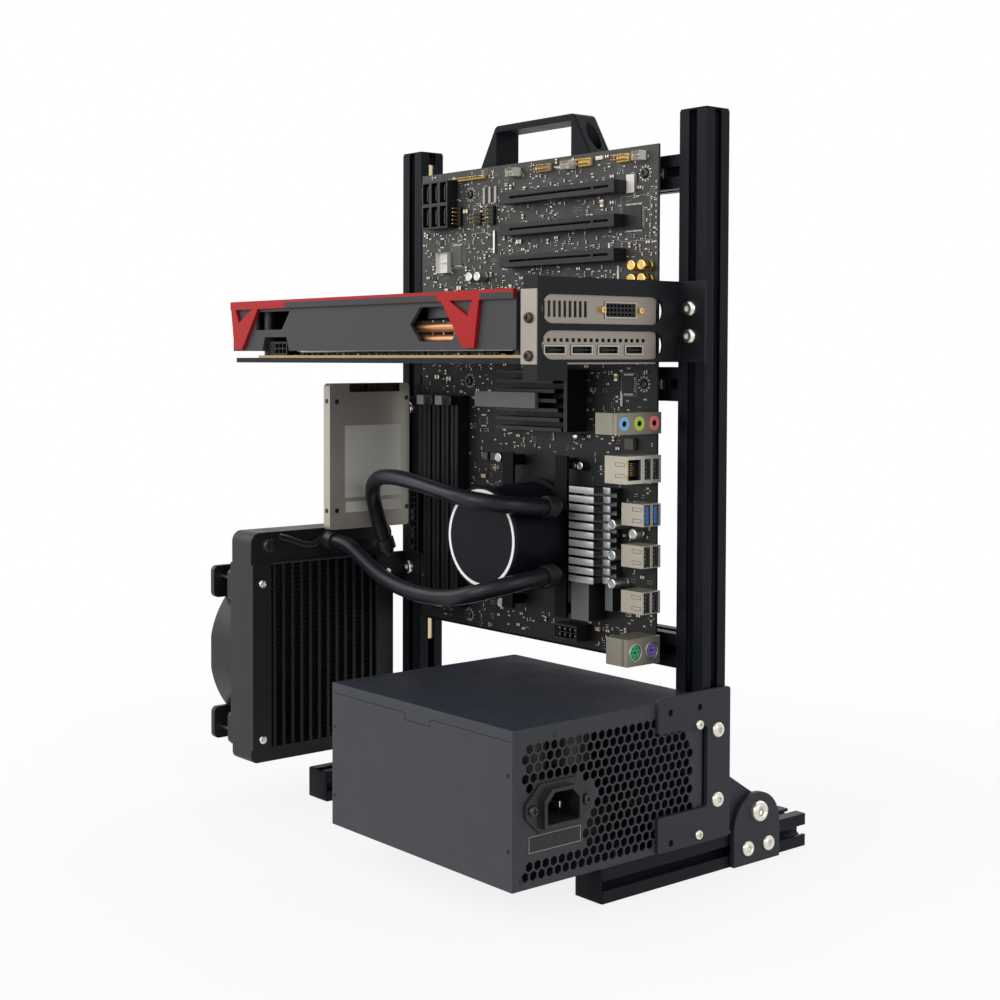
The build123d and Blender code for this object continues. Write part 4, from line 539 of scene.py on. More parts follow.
nodeFinishes = {
    "railUpright": "right_upright left_upright",
    "railCross": "top_cross_rail middle_cross_rail bottom_cross_rail",
    "railFoot": "right_foot_rail left_foot_rail",
    "blackSheet": "right_pivot_plate left_pivot_plate right_pivot_tongue left_pivot_tongue psu_bracket",
    "holderSheetShaded": "card_holder drive_bracket radiator_brackets card_backplate",
    "bracketBlack": "pump_bracket",
    "handleNylon": "carry_handle",
    "brassFitting": "corner_connectors standoffs",
    "plainSteel": "slot_nuts",
    "nickelSheet": "card_end_plate",
    "portNickel": "usb_network_ports",
    "portNickelShaded": "keyboard_mouse_ports audio_jacks",
    "cardSocket": "card_sockets",
    "boardMask": "main_board",
    "socketBlack": "expansion_slots memory_slots board_sockets",
    "sinkDark": "chipset_heatsink",
    "sinkGrey": "regulator_heatsink",
    "pumpGloss": "pump_body pump_cap",
    "ringWhite": "pump_ring",
    "coolerBlack": "hose_fittings",
    "radiatorPaint": "radiator",
    "fanPlastic": "radiator_fan_frame radiator_fan_rotor card_fan_rotor_left card_fan_rotor_right "
                  "psu_fan_frame psu_fan_rotor",
    "driveMetal": "solid_state_drive",
    "shroudBlack": "card_shroud",
    "trimRed": "card_trim",
    "cardLaminate": "card_board",
    "cardSink": "card_heatsink",
    "supplyPaint": "psu_case psu_cover",
    "inletBlack": "psu_inlet",
    "supplyBoardShaded": "psu_board",
}
for finish, names in nodeFinishes.items():
    for node in names.split():
        nodes[node].data.materials.clear()
        nodes[node].data.materials.append(finishes[finish])
print("finishes ready:", len(finishes))


# Mesh helpers
def finishPiece(name, bm, slots, body="bench", stands=(), smooth=35.0):
    mesh = bpy.data.meshes.new(name)
    bm.to_mesh(mesh)
    bm.free()
    for finish in slots:
        mesh.materials.append(finishes[finish])
    for face in mesh.polygons:
        face.use_smooth = True
    mesh.set_sharp_from_angle(angle=math.radians(smooth))
    piece = bpy.data.objects.new(name, mesh)
    scene.collection.objects.link(piece)
    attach(piece, body)
    if stands:
        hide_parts(*stands)
    return piece


def toneOf(look, finish):
    return look["finishes"].index(finish)


def addParts(bm, maker, look, key, finish, places):
    # copies of a part whose sizes stand under a key in the piece's dictionary
    stamp(bm, maker(*look[key], index=toneOf(look, finish)), places)


def makePiece(name, look, slot, *makers):
    # a piece from the functions that add its parts
    bm = bmesh.new()
    for maker in makers:
        maker(bm)
    return finishPiece(name, bm, look["finishes"])


def paintFaces(bm, index):
    for face in bm.faces:
        face.material_index = index
    return bm


def openEdges(bm):
    return [edge for edge in bm.edges if edge.is_boundary]


def drawnOut(bm, edges):
    # extrudes edges and returns their new points
    made = bmesh.ops.extrude_edge_only(bm, edges=edges)
    return [item for item in made["geom"] if isinstance(item, bmesh.types.BMVert)]


def blockPart(size, bevel=0.0, segments=1, index=0):
    # a block on z 0, sizes in mm
    bm = bmesh.new()
    bmesh.ops.create_cube(bm, size=mm)
    bmesh.ops.scale(bm, vec=size, verts=bm.verts)
    bmesh.ops.translate(bm, vec=(0, 0, size[2] / 2 * mm), verts=bm.verts)
    if bevel:
        bmesh.ops.bevel(bm, geom=bm.edges[:], offset=bevel * mm, offset_type="OFFSET", segments=segments,
                        profile=0.5, affect="EDGES", material=-1, clamp_overlap=True)
    return paintFaces(bm, index)


def turnedPart(profile, steps, index=0):
    # spins (height, radius) pairs in mm round z; the index may be a function of the height
    bm = bmesh.new()
    points = [bm.verts.new((radius * mm, 0, height * mm)) for height, radius in profile]
    lines = [bm.edges.new(pair) for pair in zip(points, points[1:])]
    bmesh.ops.spin(bm, geom=points + lines, cent=(0, 0, 0), axis=(0, 0, 1), angle=2 * math.pi, steps=steps,
                   use_merge=True)
    bmesh.ops.remove_doubles(bm, verts=bm.verts, dist=1e-7)
    bmesh.ops.recalc_face_normals(bm, faces=bm.faces)
    for face in bm.faces:
        face.material_index = index(face.calc_center_median().z / mm) if callable(index) else index
    return bm


def stamp(target, part, places, keep=False):
    # copies a part to each place
    mesh = bpy.data.meshes.new("stamp")
    part.to_mesh(mesh)
    if not keep:
        part.free()
    for place in places:
        copied = mesh.copy()
        copied.transform(place)
        target.from_mesh(copied)
        bpy.data.meshes.remove(copied)
    bpy.data.meshes.remove(mesh)


def facing(place, direction, turn=0.0):
    # a part's z along a direction
    turned = Vector((0, 0, 1)).rotation_difference(Vector(direction)).to_matrix().to_4x4()
    return Matrix.Translation(place) @ turned @ Matrix.Rotation(turn, 4, "Z")


def onSide(x, y, z, turn=0.0):
    # a part's z towards the right, in mm
    return facing(spot(x, y, z), (1, 0, 0), turn)


def at(x, y, z=0.0):
    # a place inside a part, in mm
    return Matrix.Translation((x * mm, y * mm, z * mm))


def centred(count, pitch):
    # even steps with 0 in their middle
    return [(index - (count - 1) / 2) * pitch for index in range(count)]


def aroundRing(reach, count, first=0.0):
    # places evenly round a ring, the first at an angle in degrees
    turns = [math.radians(first + 360 / count * index) for index in range(count)]
    return [(reach * math.cos(turn), reach * math.sin(turn)) for turn in turns]


def cornersRound(middle, reach):
    return [(middle[0] + x * reach, middle[1] + z * reach) for x in bothWays for z in bothWays]


def cupPart(size, wall, floor, index=0):
    # a block hollowed from its top
    bm = blockPart(size, index=index)
    mouth = max(bm.faces, key=lambda face: face.calc_center_median().z)
    bmesh.ops.inset_individual(bm, faces=[mouth], thickness=wall * mm, depth=0.0)
    bmesh.ops.translate(bm, vec=(0, 0, (floor - size[2]) * mm), verts=mouth.verts)
    return bm


def framePart(width, height, line, thick, index=0):
    # a flat outline standing on z 0
    bm = bmesh.new()
    bmesh.ops.create_grid(bm, x_segments=1, y_segments=1, size=mm / 2)
    bmesh.ops.scale(bm, vec=(width, height, 1), verts=bm.verts)
    field = bm.faces[:]
    bmesh.ops.inset_individual(bm, faces=field, thickness=line * mm, depth=0.0)
    bmesh.ops.delete(bm, geom=field, context="FACES")
    bmesh.ops.solidify(bm, geom=bm.faces[:], thickness=thick * mm)
    bmesh.ops.recalc_face_normals(bm, faces=bm.faces)
    bmesh.ops.translate(bm, vec=(0, 0, -min(vert.co.z for vert in bm.verts)), verts=bm.verts)
    return paintFaces(bm, index)


boardFace = localBox("main_board")[0].y
boardTurn = Matrix(((1, 0, 0, 0), (0, 0, -1, 0), (0, 1, 0, 0), (0, 0, 0, 1)))


def onBoard(x, z, quarter=0, lift=0.0):
    # a part's z away from the board's component side
    return (Matrix.Translation(spot(x, boardFace - lift, z)) @ boardTurn
            @ Matrix.Rotation(quarter * quarterTurn, 4, "Z"))


def solidsOf(node):
    # the separate solids in a node, each as a list of its corner points
    bm = bmesh.new()
    bm.from_mesh(nodes[node].data)
    bmesh.ops.remove_doubles(bm, verts=bm.verts, dist=1e-6)
    waiting = set(bm.verts)
    solids = []
    for first in bm.verts:
        if first not in waiting:
            continue
        waiting.discard(first)
        reached = [first]
        for vert in reached:
            for edge in vert.link_edges:
                other = edge.other_vert(vert)
                if other in waiting:
                    waiting.discard(other)
                    reached.append(other)
        solids.append([vert.co.copy() for vert in reached])
    bm.free()
    return solids


def limitsOf(points):
    low = Vector(min(point[axis] for point in points) for axis in range(3))
    high = Vector(max(point[axis] for point in points) for axis in range(3))
    return low, high


# Coolant hoses: the routes of the tubes, from the radiator to the pump
hoses = {
    "diameter": 10.4,
    "upper": {"length": 0.2337, "points": (
        (-230.0, -37.0, 176.5), (-230.5, -43.0, 194.0), (-227.0, -50.5, 210.5), (-213.5, -57.0, 221.0),
        (-187.0, -63.5, 223.5), (-152.0, -72.0, 222.0), (-118.0, -81.5, 219.5), (-90.0, -86.5, 217.0),
        (-71.0, -77.5, 214.5), (-63.5, -62.0, 213.0), (-62.0, -47.0, 212.0))},
    "lower": {"length": 0.2082, "points": (
        (-239.0, -72.0, 176.0), (-225.0, -72.0, 176.0), (-208.0, -73.0, 168.0), (-186.0, -75.0, 158.5),
        (-158.0, -77.5, 153.0), (-128.0, -80.5, 152.5), (-102.0, -84.5, 155.5), (-82.0, -85.0, 160.5),
        (-68.5, -75.0, 165.5), (-63.0, -60.5, 168.5), (-62.0, -47.0, 170.0))},
}
tubeLook = {"around": 7, "along": 16, "order": 3}


def layTube(name, route, diameter, finish):
    # a round tube along a route's control points
    curve = bpy.data.curves.new(name + "Curve", "CURVE")
    curve.dimensions = "3D"
    curve.bevel_depth = diameter / 2 * mm
    curve.bevel_resolution = tubeLook["around"]
    curve.resolution_u = tubeLook["along"]
    curve.use_fill_caps = True
    spline = curve.splines.new("NURBS")
    spline.points.add(len(route) - 1)
    for point, place in zip(spline.points, route):
        point.co = (*place, 1)
    spline.order_u = tubeLook["order"]
    spline.use_endpoint_u = True
    curve.materials.append(finishes[finish])
    tube = bpy.data.objects.new(name, curve)
    scene.collection.objects.link(tube)
    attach(tube, "bench")
    return tube


def addHose(side):
    route = [spot(*point) for point in hoses[side]["points"]]
    hose = layTube(side + "Hose", route, hoses["diameter"], "hoseRubber")
    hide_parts(side + "_hose")


addHose("upper")
addHose("lower")
print("hoses laid")


# Screws: domed heads with a hex or cross socket in place of the plain solids
screwKinds = {
    "button": {"head": 9.5, "dome": 0.62, "socket": 3.2, "depth": 1.5, "cross": False},
    "pan": {"head": 6.0, "dome": 0.7, "socket": 3.4, "depth": 1.0, "cross": True},
    "pivot": {"head": 13.0, "dome": 0.72, "socket": 5.2, "depth": 2.4, "cross": False},
}
screwLook = {"steps": 36, "domeSteps": 6, "crossWidth": 1.0, "tipShare": 0.8, "tipBevel": 0.4, "rimIn": 0.2,
             "rimUp": 0.1, "headMatch": 0.06, "rimShare": 0.9, "tipShareAlong": 0.49, "inletLevel": 62.0,
             "inletReach": 2.0, "finishes": ["brightScrew", "darkScrew"]}


def socketRadius(kind, angle):
    # how far the socket's outline is from the screw's middle at an angle
    if kind["cross"]:
        off = abs((angle + math.pi / 4) % quarterTurn - math.pi / 4)
        arm = kind["socket"] / 2 / math.cos(off)
        return min(arm, screwLook["crossWidth"] / 2 / max(math.sin(off), 1e-6))
    off = (angle % (math.pi / 3)) - math.pi / 6
    return kind["socket"] / 2 / math.cos(off)


def screwPart(kind, headHeight, shankRadius, shankLength):
    radius = kind["head"] / 2
    top = radius * kind["dome"]
    turns = [quarterTurn * step / screwLook["domeSteps"] for step in range(1, screwLook["domeSteps"] + 1)]
    dome = [(headHeight * math.sin(turn), top + (radius - top) * math.cos(turn)) for turn in turns]
    profile = [(-shankLength, 0.0), (-shankLength, shankRadius * screwLook["tipShare"]),
               (screwLook["tipBevel"] - shankLength, shankRadius), (0.0, shankRadius),
               (0.0, radius - screwLook["rimIn"]), (screwLook["rimUp"], radius)] + dome
    bm = turnedPart(profile, screwLook["steps"])
    for vert in drawnOut(bm, openEdges(bm)):
        angle = math.atan2(vert.co.y, vert.co.x)
        reach = socketRadius(kind, angle) * mm
        vert.co.x, vert.co.y = reach * math.cos(angle), reach * math.sin(angle)
    for vert in drawnOut(bm, openEdges(bm)):
        vert.co.z -= kind["depth"] * mm
    bmesh.ops.holes_fill(bm, edges=openEdges(bm), sides=0)
    bmesh.ops.recalc_face_normals(bm, faces=bm.faces)
    return bm


def readAlong(points, axis, kind):
    # a screw's seat, direction and lengths, once its axis and kind are known
    low, high = limitsOf(points)
    middle, long = (low + high) / 2, high[axis] - low[axis]
    first, second = [other for other in range(3) if other != axis]
    offsets = [point - middle for point in points]
    reach = [(offset[axis], math.hypot(offset[first], offset[second])) for offset in offsets]
    wide = [along for along, out in reach if out > kind["head"] / 2 * screwLook["rimShare"] * mm]
    outward = 1 if sum(wide) > 0 else -1
    tip = [out for along, out in reach if along * outward < -long * screwLook["tipShareAlong"]]
    seat = min(along * outward for along in wide)
    headTop = max(along * outward for along, out in reach)
    direction = Vector([outward if other == axis else 0 for other in range(3)])
    return {"kind": kind, "seat": middle + direction * seat, "direction": direction,
            "height": (headTop - seat) / mm, "shank": max(tip) / mm, "length": (seat + long / 2) / mm}


def readScrew(points):
    # reads a screw from its solid, or nothing where it is no screw
    low, high = limitsOf(points)
    size = (high - low) / mm
    for axis in range(3):
        across = [size[other] for other in range(3) if other != axis]
        for kind in screwKinds.values():
            if all(abs(width - kind["head"]) < screwLook["headMatch"] for width in across):
                return readAlong(points, axis, kind)
    return None


def isDark(screw):
    # the board's, card tab's and inlet's screws are dark
    offLevel = abs(screw["seat"].z / mm - screwLook["inletLevel"])
    onInlet = screw["direction"].x > 0.5 and offLevel < screwLook["inletReach"]
    return int(screw["kind"]["cross"] and (screw["direction"].y < -0.5 or onInlet))


def dressScrews(name, node, body):
    # detailed screws for a node's screw solids, and its other solids as they are
    bm = bmesh.new()
    plain = set()
    for points in solidsOf(node):
        screw = readScrew(points)
        if screw is None:
            plain.update(point.to_tuple(6) for point in points)
            continue
        part = screwPart(screw["kind"], screw["height"], screw["shank"], screw["length"])
        place = facing(screw["seat"], screw["direction"], draw.uniform(0, math.pi))
        stamp(bm, paintFaces(part, isDark(screw)), [place])
    if plain:
        rest = bmesh.new()
        rest.from_mesh(nodes[node].data)
        bmesh.ops.remove_doubles(rest, verts=rest.verts, dist=1e-6)
        outside = [vert for vert in rest.verts if vert.co.to_tuple(6) not in plain]
        bmesh.ops.delete(rest, geom=outside, context="VERTS")
        stamp(bm, rest, [Matrix()])
    return finishPiece(name, bm, screwLook["finishes"], body, (node,))


dressScrews("buttonScrews", "frame_screws", "bench")
dressScrews("panScrews", "small_screws", "bench")
dressScrews("rightFootBolts", "right_foot_bolts", "right_foot")
dressScrews("leftFootBolts", "left_foot_bolts", "left_foot")
print("screws dressed")


# Capacitors: cans with a crimp and a rounded shoulder at the top
canLook = {
    "crimp": 1.2, "crimpStep": 0.4, "crimpIn": 0.35, "steps": 28, "slack": 0.05, "topBand": 0.2,
    "shoulder": ((0.5, 0.0), (0.15, 0.15), (0.0, 0.5), (0.0, 0.75), (0.12, 0.85)),
    "goldAbove": 340.0, "goldRight": -40.0, "finishes": ["canSilver", "canGold"],
}


def canPart(radius, height, sleeve, top):
    crimp, step = canLook["crimp"], canLook["crimpStep"]
    foot = [(0.0, 0.0), (0.0, radius), (crimp, radius), (crimp + step, radius - canLook["crimpIn"]),
            (crimp + 2 * step, radius)]
    shoulder = [(height - down, radius - inward) for down, inward in canLook["shoulder"]]
    profile = foot + shoulder + [(shoulder[-1][0], 0.0)]
    band = height - canLook["topBand"]
    return turnedPart(profile, canLook["steps"], lambda level: top if level > band else sleeve)


def addCapacitors():
    bm = bmesh.new()
    for points in solidsOf("capacitors"):
        low, high = [measured(corner) for corner in limitsOf(points)]
        middle, size = (low + high) / 2, high - low
        sleeve = int(middle.x > canLook["goldRight"] and middle.z > canLook["goldAbove"])
        part = canPart(size.x / 2 - canLook["slack"], size.y, sleeve, sleeve)
        stamp(bm, part, [onBoard(middle.x, middle.z)])
    return finishPiece("capacitorCans", bm, canLook["finishes"], stands=("capacitors",))


addCapacitors()
print("capacitors standing")


# Radiator fins: folded strips between the flat tubes, on both faces
finLook = {
    "columns": 12, "pitch": 1.6, "depth": 2.3, "back": 4.0, "edge": 15.0, "tube": 2.2, "gap": 0.15,
    "run": (40.0, 162.0), "thick": 0.12, "smooth": 20.0,
}


def addFins():
    low, high = localBox("radiator")
    channel, pitch = finLook["edge"], finLook["pitch"]
    first, last = low.y + channel, high.y - channel
    width = (last - first) / finLook["columns"]
    tubes = [first + width * (index + 0.5) for index in range(finLook["columns"])]
    starts, ends = [low.y + channel / 2] + tubes, tubes + [high.y - channel / 2]
    aside = finLook["tube"] / 2 + finLook["gap"]
    base, top = finLook["run"]
    bm = bmesh.new()
    for face, inward in ((high.x, -1), (low.x, 1)):
        back = face + inward * finLook["back"]
        for start, end in zip(starts, ends):
            sides = (end - aside, start + aside)
            row = [bm.verts.new(spot(back, sides[turn % 2], base + turn * pitch))
                   for turn in range(int((top - base) / pitch) + 1)]
            lines = [bm.edges.new(pair) for pair in zip(row, row[1:])]
            bmesh.ops.translate(bm, vec=(-inward * finLook["depth"] * mm, 0, 0), verts=drawnOut(bm, lines))
    bmesh.ops.solidify(bm, geom=bm.faces[:], thickness=finLook["thick"] * mm)
    return finishPiece("radiatorFins", bm, ["finBlackShaded"], smooth=finLook["smooth"])


addFins()
print("radiator finned")


# Rear ports: black liners, which in the USB wells paint the shade inside the metal shells, tongues and
# coloured rims
portLook = {
    "face": -5.5, "usb": (158.0, 185.0, 209.5, 236.5), "blue": 209.5, "usbLifts": (4.21, 11.39),
    "usbSunk": 11.97, "shadeLiner": ((11.9, 5.1, 11.8), 0.25, 0.3), "tongue": ((10.5, 2.3, 12.0), 0.2),
    "strip": ((1.0, 0.12, 7.5), 0), "stripAt": (-1.18, 4.0), "contacts": (-3.5, -1.25, 1.25, 3.5),
    "network": (236.5, 22.55), "networkLiner": ((11.9, 10.4, 12.8), 0.3, 0.4), "networkSunk": 12.85,
    "wire": ((0.35, 4.6, 0.35), 0), "wires": (8, 1.02), "wireAt": (2.6, 8.5),
    "lamp": ((3.0, 1.3, 0.35), 0.1), "lampUp": 6.3, "lamps": ((-4.0, "jackGreen"), (4.0, "headerAmber")),
    "audio": 263.5, "jacks": ((6.33, "jackPink"), (19.0, "jackGreen"), (31.67, "jackBlue")), "jackShadeBelow": -1.2,
    "jack": (((-9.0, 0.0), (-9.0, 1.7), (0.3, 1.7), (0.55, 2.0), (0.55, 4.0), (0.3, 4.3), (0.0, 4.3),
              (0.0, 2.75), (-9.5, 2.75), (-9.5, 0.0)), 28),
    "round": 130.0, "discs": ((7.0, "portPurple"), (21.0, "portGreen")),
    "disc": (((-9.0, 0.0), (-9.0, 4.4), (-0.7, 4.4), (-0.4, 4.1), (-0.4, 0.0)), 28),
    "rim": (((0.0, 4.5), (0.45, 4.6), (0.45, 5.3), (0.0, 5.4)), 32),
    "pin": (((-0.6, 0.0), (-0.6, 0.55), (-0.36, 0.55), (-0.36, 0.0)), 10), "pinRing": (2.7, 6, 30.0),
    "key": ((1.2, 2.2, 0.3), 0), "keyAt": -0.66,
    "springs": ((158.0, 15.6), (185.0, 15.6), (209.5, 15.6), (236.5, 30.0)),
    "spring": (7.0, 2.2, 0.3, 0.08), "springX": -10.0, "springAside": 3.3,
    "jackSeam": ((0.3, 12.4, 0.06), 0), "roundSeam": ((0.3, 15.8, 0.06), 0),
    "seams": (("jackSeam", -8.0, 263.5, 38.0), ("roundSeam", -8.2, 130.0, 28.0),
              ("roundSeam", -9.4, 130.0, 28.0)),
    "finishes": ["socketBlack", "portBlue", "goldPlate", "plainSteel", "jackBlue", "jackGreen", "jackPink",
                 "portGreen", "portPurple", "headerAmber"],
}


def inPort(lift, z, depth=0.0):
    # a part's z out of a rear port, its y along the board's depth
    return onSide(portLook["face"] - depth, boardFace - lift, z)


def addUsbInserts(bm):
    for z in portLook["usb"]:
        shade = "portBlue" if z == portLook["blue"] else "socketBlack"
        for lift in portLook["usbLifts"]:
            place = inPort(lift, z, portLook["usbSunk"])
            # a black liner paints the shade inside the metal shell
            addParts(bm, cupPart, portLook, "shadeLiner", "socketBlack", [place])
            addParts(bm, blockPart, portLook, "tongue", shade, [place])
            contacts = [place @ at(x, *portLook["stripAt"]) for x in portLook["contacts"]]
            addParts(bm, blockPart, portLook, "strip", "goldPlate", contacts)


def addNetworkInsert(bm):
    z, lift = portLook["network"]
    place = inPort(lift, z, portLook["networkSunk"])
    addParts(bm, cupPart, portLook, "networkLiner", "socketBlack", [place])
    wires = [place @ at(x, *portLook["wireAt"]) for x in centred(*portLook["wires"])]
    addParts(bm, blockPart, portLook, "wire", "goldPlate", wires)
    for x, shade in portLook["lamps"]:
        addParts(bm, blockPart, portLook, "lamp", shade, [inPort(lift + portLook["lampUp"], z) @ at(x, 0)])


def addRoundInserts(bm):
    dark = toneOf(portLook, "socketBlack")
    for lift, shade in portLook["jacks"]:
        bright = toneOf(portLook, shade)
        # the bore below jackShadeBelow is painted black as the shade inside it
        ring = turnedPart(*portLook["jack"], lambda level: bright if level > portLook["jackShadeBelow"] else dark)
        stamp(bm, ring, [inPort(lift, portLook["audio"])])
    for lift, shade in portLook["discs"]:
        place = inPort(lift, portLook["round"])
        addParts(bm, turnedPart, portLook, "disc", shade, [place])
        addParts(bm, turnedPart, portLook, "rim", "plainSteel", [place])
        # the pin holes are dark discs, painted shade
        pins = [place @ at(x, y) for x, y in aroundRing(*portLook["pinRing"])]
        addParts(bm, turnedPart, portLook, "pin", "socketBlack", pins)
        addParts(bm, blockPart, portLook, "key", "socketBlack", [place @ at(0, 0, portLook["keyAt"])])


def addSeams(bm):
    x, aside = portLook["springX"], portLook["springAside"]
    for z, lift in portLook["springs"]:
        pair = [onBoard(x, z + side * aside, lift=lift) for side in bothWays]
        addParts(bm, framePart, portLook, "spring", "socketBlack", pair)
    for key, x, z, lift in portLook["seams"]:
        addParts(bm, blockPart, portLook, key, "socketBlack", [onBoard(x, z, lift=lift)])


makePiece("portInserts", portLook, "black_plastic", addUsbInserts, addNetworkInsert, addRoundInserts,
          addSeams)
print("ports filled")


# Board sockets: contacts, latches, grids and pins
socketLook = {
    "slotLevels": (363.3, 383.6, 403.9), "slotGroove": (-124.5, -38.5), "slotFloor": 2.5,
    "slotContact": ((0.5, 0.35, 7.4), 0), "slotAside": 0.66, "slotStart": 0.5,
    "keyBar": ((2.0, 1.75, 8.4), 0.1), "keyX": -52.0,
    "memoryMiddles": (-207.0, -197.6, -188.2, -178.8), "memoryRun": (134.0, 276.0), "memoryFloor": 4.0,
    "memoryContact": ((0.3, 0.8, 5.4), 0), "memoryAside": 0.62, "memoryPitch": 2.0, "memoryEnds": (8.0, 6.0),
    "latch": ((7.2, 6.4, 8.3), 0.6, 2), "latchIn": 3.0, "latchLift": 8.0, "paleLatches": (0, 2),
    "ridge": ((5.2, 0.5, 0.3), 0.1), "ridges": (3, 1.3), "ridgeUp": 8.2,
    "dataCorner": (-214.0, 421.0), "dataSize": (26.5, 32.0), "dataCells": (3, 2), "dataFloor": 2.5,
    "dataTongue": ((1.3, 10.6, 5.6), 0.15), "dataKey": ((2.4, 1.3, 5.6), 0.15),
    "dataBars": (("dataTongue", (0.6, 0.0)), ("dataKey", (1.2, 4.6))),
    "dataContact": ((0.12, 0.6, 5.0), 0), "contactX": -0.1, "contacts": (7, 1.27),
    "inlets": (((-218.0, 193.0), (7.4, 49.4), (2, 12)), ((-71.0, 132.0), (17.4, 7.4), (4, 2))),
    "inletFloor": 4.0, "inletTall": 8.4, "inletWells": (0.9, 7.0),
    "pin": ((0.9, 0.9, 5.6), 0.15), "pinUp": 1.3,
    "finishes": ["socketBlack", "goldPlate", "latchGrey", "solderSilver", "partGrey"],
}
wellLip = 0.02


def holePlate(size, cells, wall, deep, index=0, inner=0):
    # a plate on z 0 with a grid of square wells sunk from its top
    bm = bmesh.new()
    bmesh.ops.create_grid(bm, x_segments=cells[0], y_segments=cells[1], size=mm / 2)
    bmesh.ops.scale(bm, vec=(size[0], size[1], 1), verts=bm.verts)
    bmesh.ops.translate(bm, vec=(0, 0, size[2] * mm), verts=bm.verts)
    rim = openEdges(bm)
    wells = bm.faces[:]
    paintFaces(bm, index)
    for thickness in (wall / 2, wellLip):
        bmesh.ops.inset_individual(bm, faces=wells, thickness=thickness * mm, depth=0.0)
    for face in wells:
        face.material_index = inner
        bmesh.ops.translate(bm, vec=(0, 0, -deep * mm), verts=face.verts)
    bmesh.ops.translate(bm, vec=(0, 0, -size[2] * mm), verts=drawnOut(bm, rim))
    bmesh.ops.recalc_face_normals(bm, faces=bm.faces)
    return bm


def cellPlaces(size, columns, rows):
    # the middles of a grid's cells
    return [(x, y) for x in centred(columns, size[0] / columns) for y in centred(rows, size[1] / rows)]


def addSlotContacts(bm):
    start, end = socketLook["slotGroove"]
    floor, aside = socketLook["slotFloor"], socketLook["slotAside"]
    steps = [start + socketLook["slotStart"] + step for step in range(int(end - start))]
    for level in socketLook["slotLevels"]:
        bar = [onBoard(socketLook["keyX"], level, lift=floor)]
        addParts(bm, blockPart, socketLook, "keyBar", "socketBlack", bar)
        contacts = [onBoard(x, level + side * aside, lift=floor) for x in steps for side in bothWays]
        addParts(bm, blockPart, socketLook, "slotContact", "partGrey", contacts)


def addMemoryContacts(bm):
    base, top = socketLook["memoryRun"]
    below, above = socketLook["memoryEnds"]
    pitch, floor, aside = socketLook["memoryPitch"], socketLook["memoryFloor"], socketLook["memoryAside"]
    levels = [base + below + row * pitch for row in range(int((top - base - below - above) / pitch))]
    contacts = [onBoard(x + side * aside, level, lift=floor)
                for x in socketLook["memoryMiddles"] for level in levels for side in bothWays]
    addParts(bm, blockPart, socketLook, "memoryContact", "partGrey", contacts)


def addLatches(bm):
    base, top = socketLook["memoryRun"]
    inset = socketLook["latchIn"]
    for index, x in enumerate(socketLook["memoryMiddles"]):
        shade = "latchGrey" if index in socketLook["paleLatches"] else "socketBlack"
        for z in (base + inset, top - inset):
            place = onBoard(x, z, lift=socketLook["latchLift"])
            addParts(bm, blockPart, socketLook, "latch", shade, [place])
            ridges = [place @ at(0, y, socketLook["ridgeUp"]) for y in centred(*socketLook["ridges"])]
            addParts(bm, blockPart, socketLook, "ridge", shade, ridges)


def addDataPorts(bm):
    (left, top), (wide, high) = socketLook["dataCorner"], socketLook["dataSize"]
    for x, y in cellPlaces((wide, high), *socketLook["dataCells"]):
        place = onBoard(left + wide / 2 + x, top - high / 2 + y, lift=socketLook["dataFloor"])
        for key, middle in socketLook["dataBars"]:
            addParts(bm, blockPart, socketLook, key, "socketBlack", [place @ at(*middle)])
        contacts = [place @ at(socketLook["contactX"], y) for y in centred(*socketLook["contacts"])]
        addParts(bm, blockPart, socketLook, "dataContact", "goldPlate", contacts)


def addInlets(bm):
    for (x, z), size, cells in socketLook["inlets"]:
        place = onBoard(x, z, lift=socketLook["inletFloor"])
        stamp(bm, holePlate((*size, socketLook["inletTall"]), cells, *socketLook["inletWells"]), [place])
        pins = [place @ at(*cell, socketLook["pinUp"]) for cell in cellPlaces(size, *cells)]
        addParts(bm, blockPart, socketLook, "pin", "solderSilver", pins)


makePiece("socketContacts", socketLook, "black_plastic", addSlotContacts, addMemoryContacts, addLatches,
          addDataPorts, addInlets)
print("sockets filled")


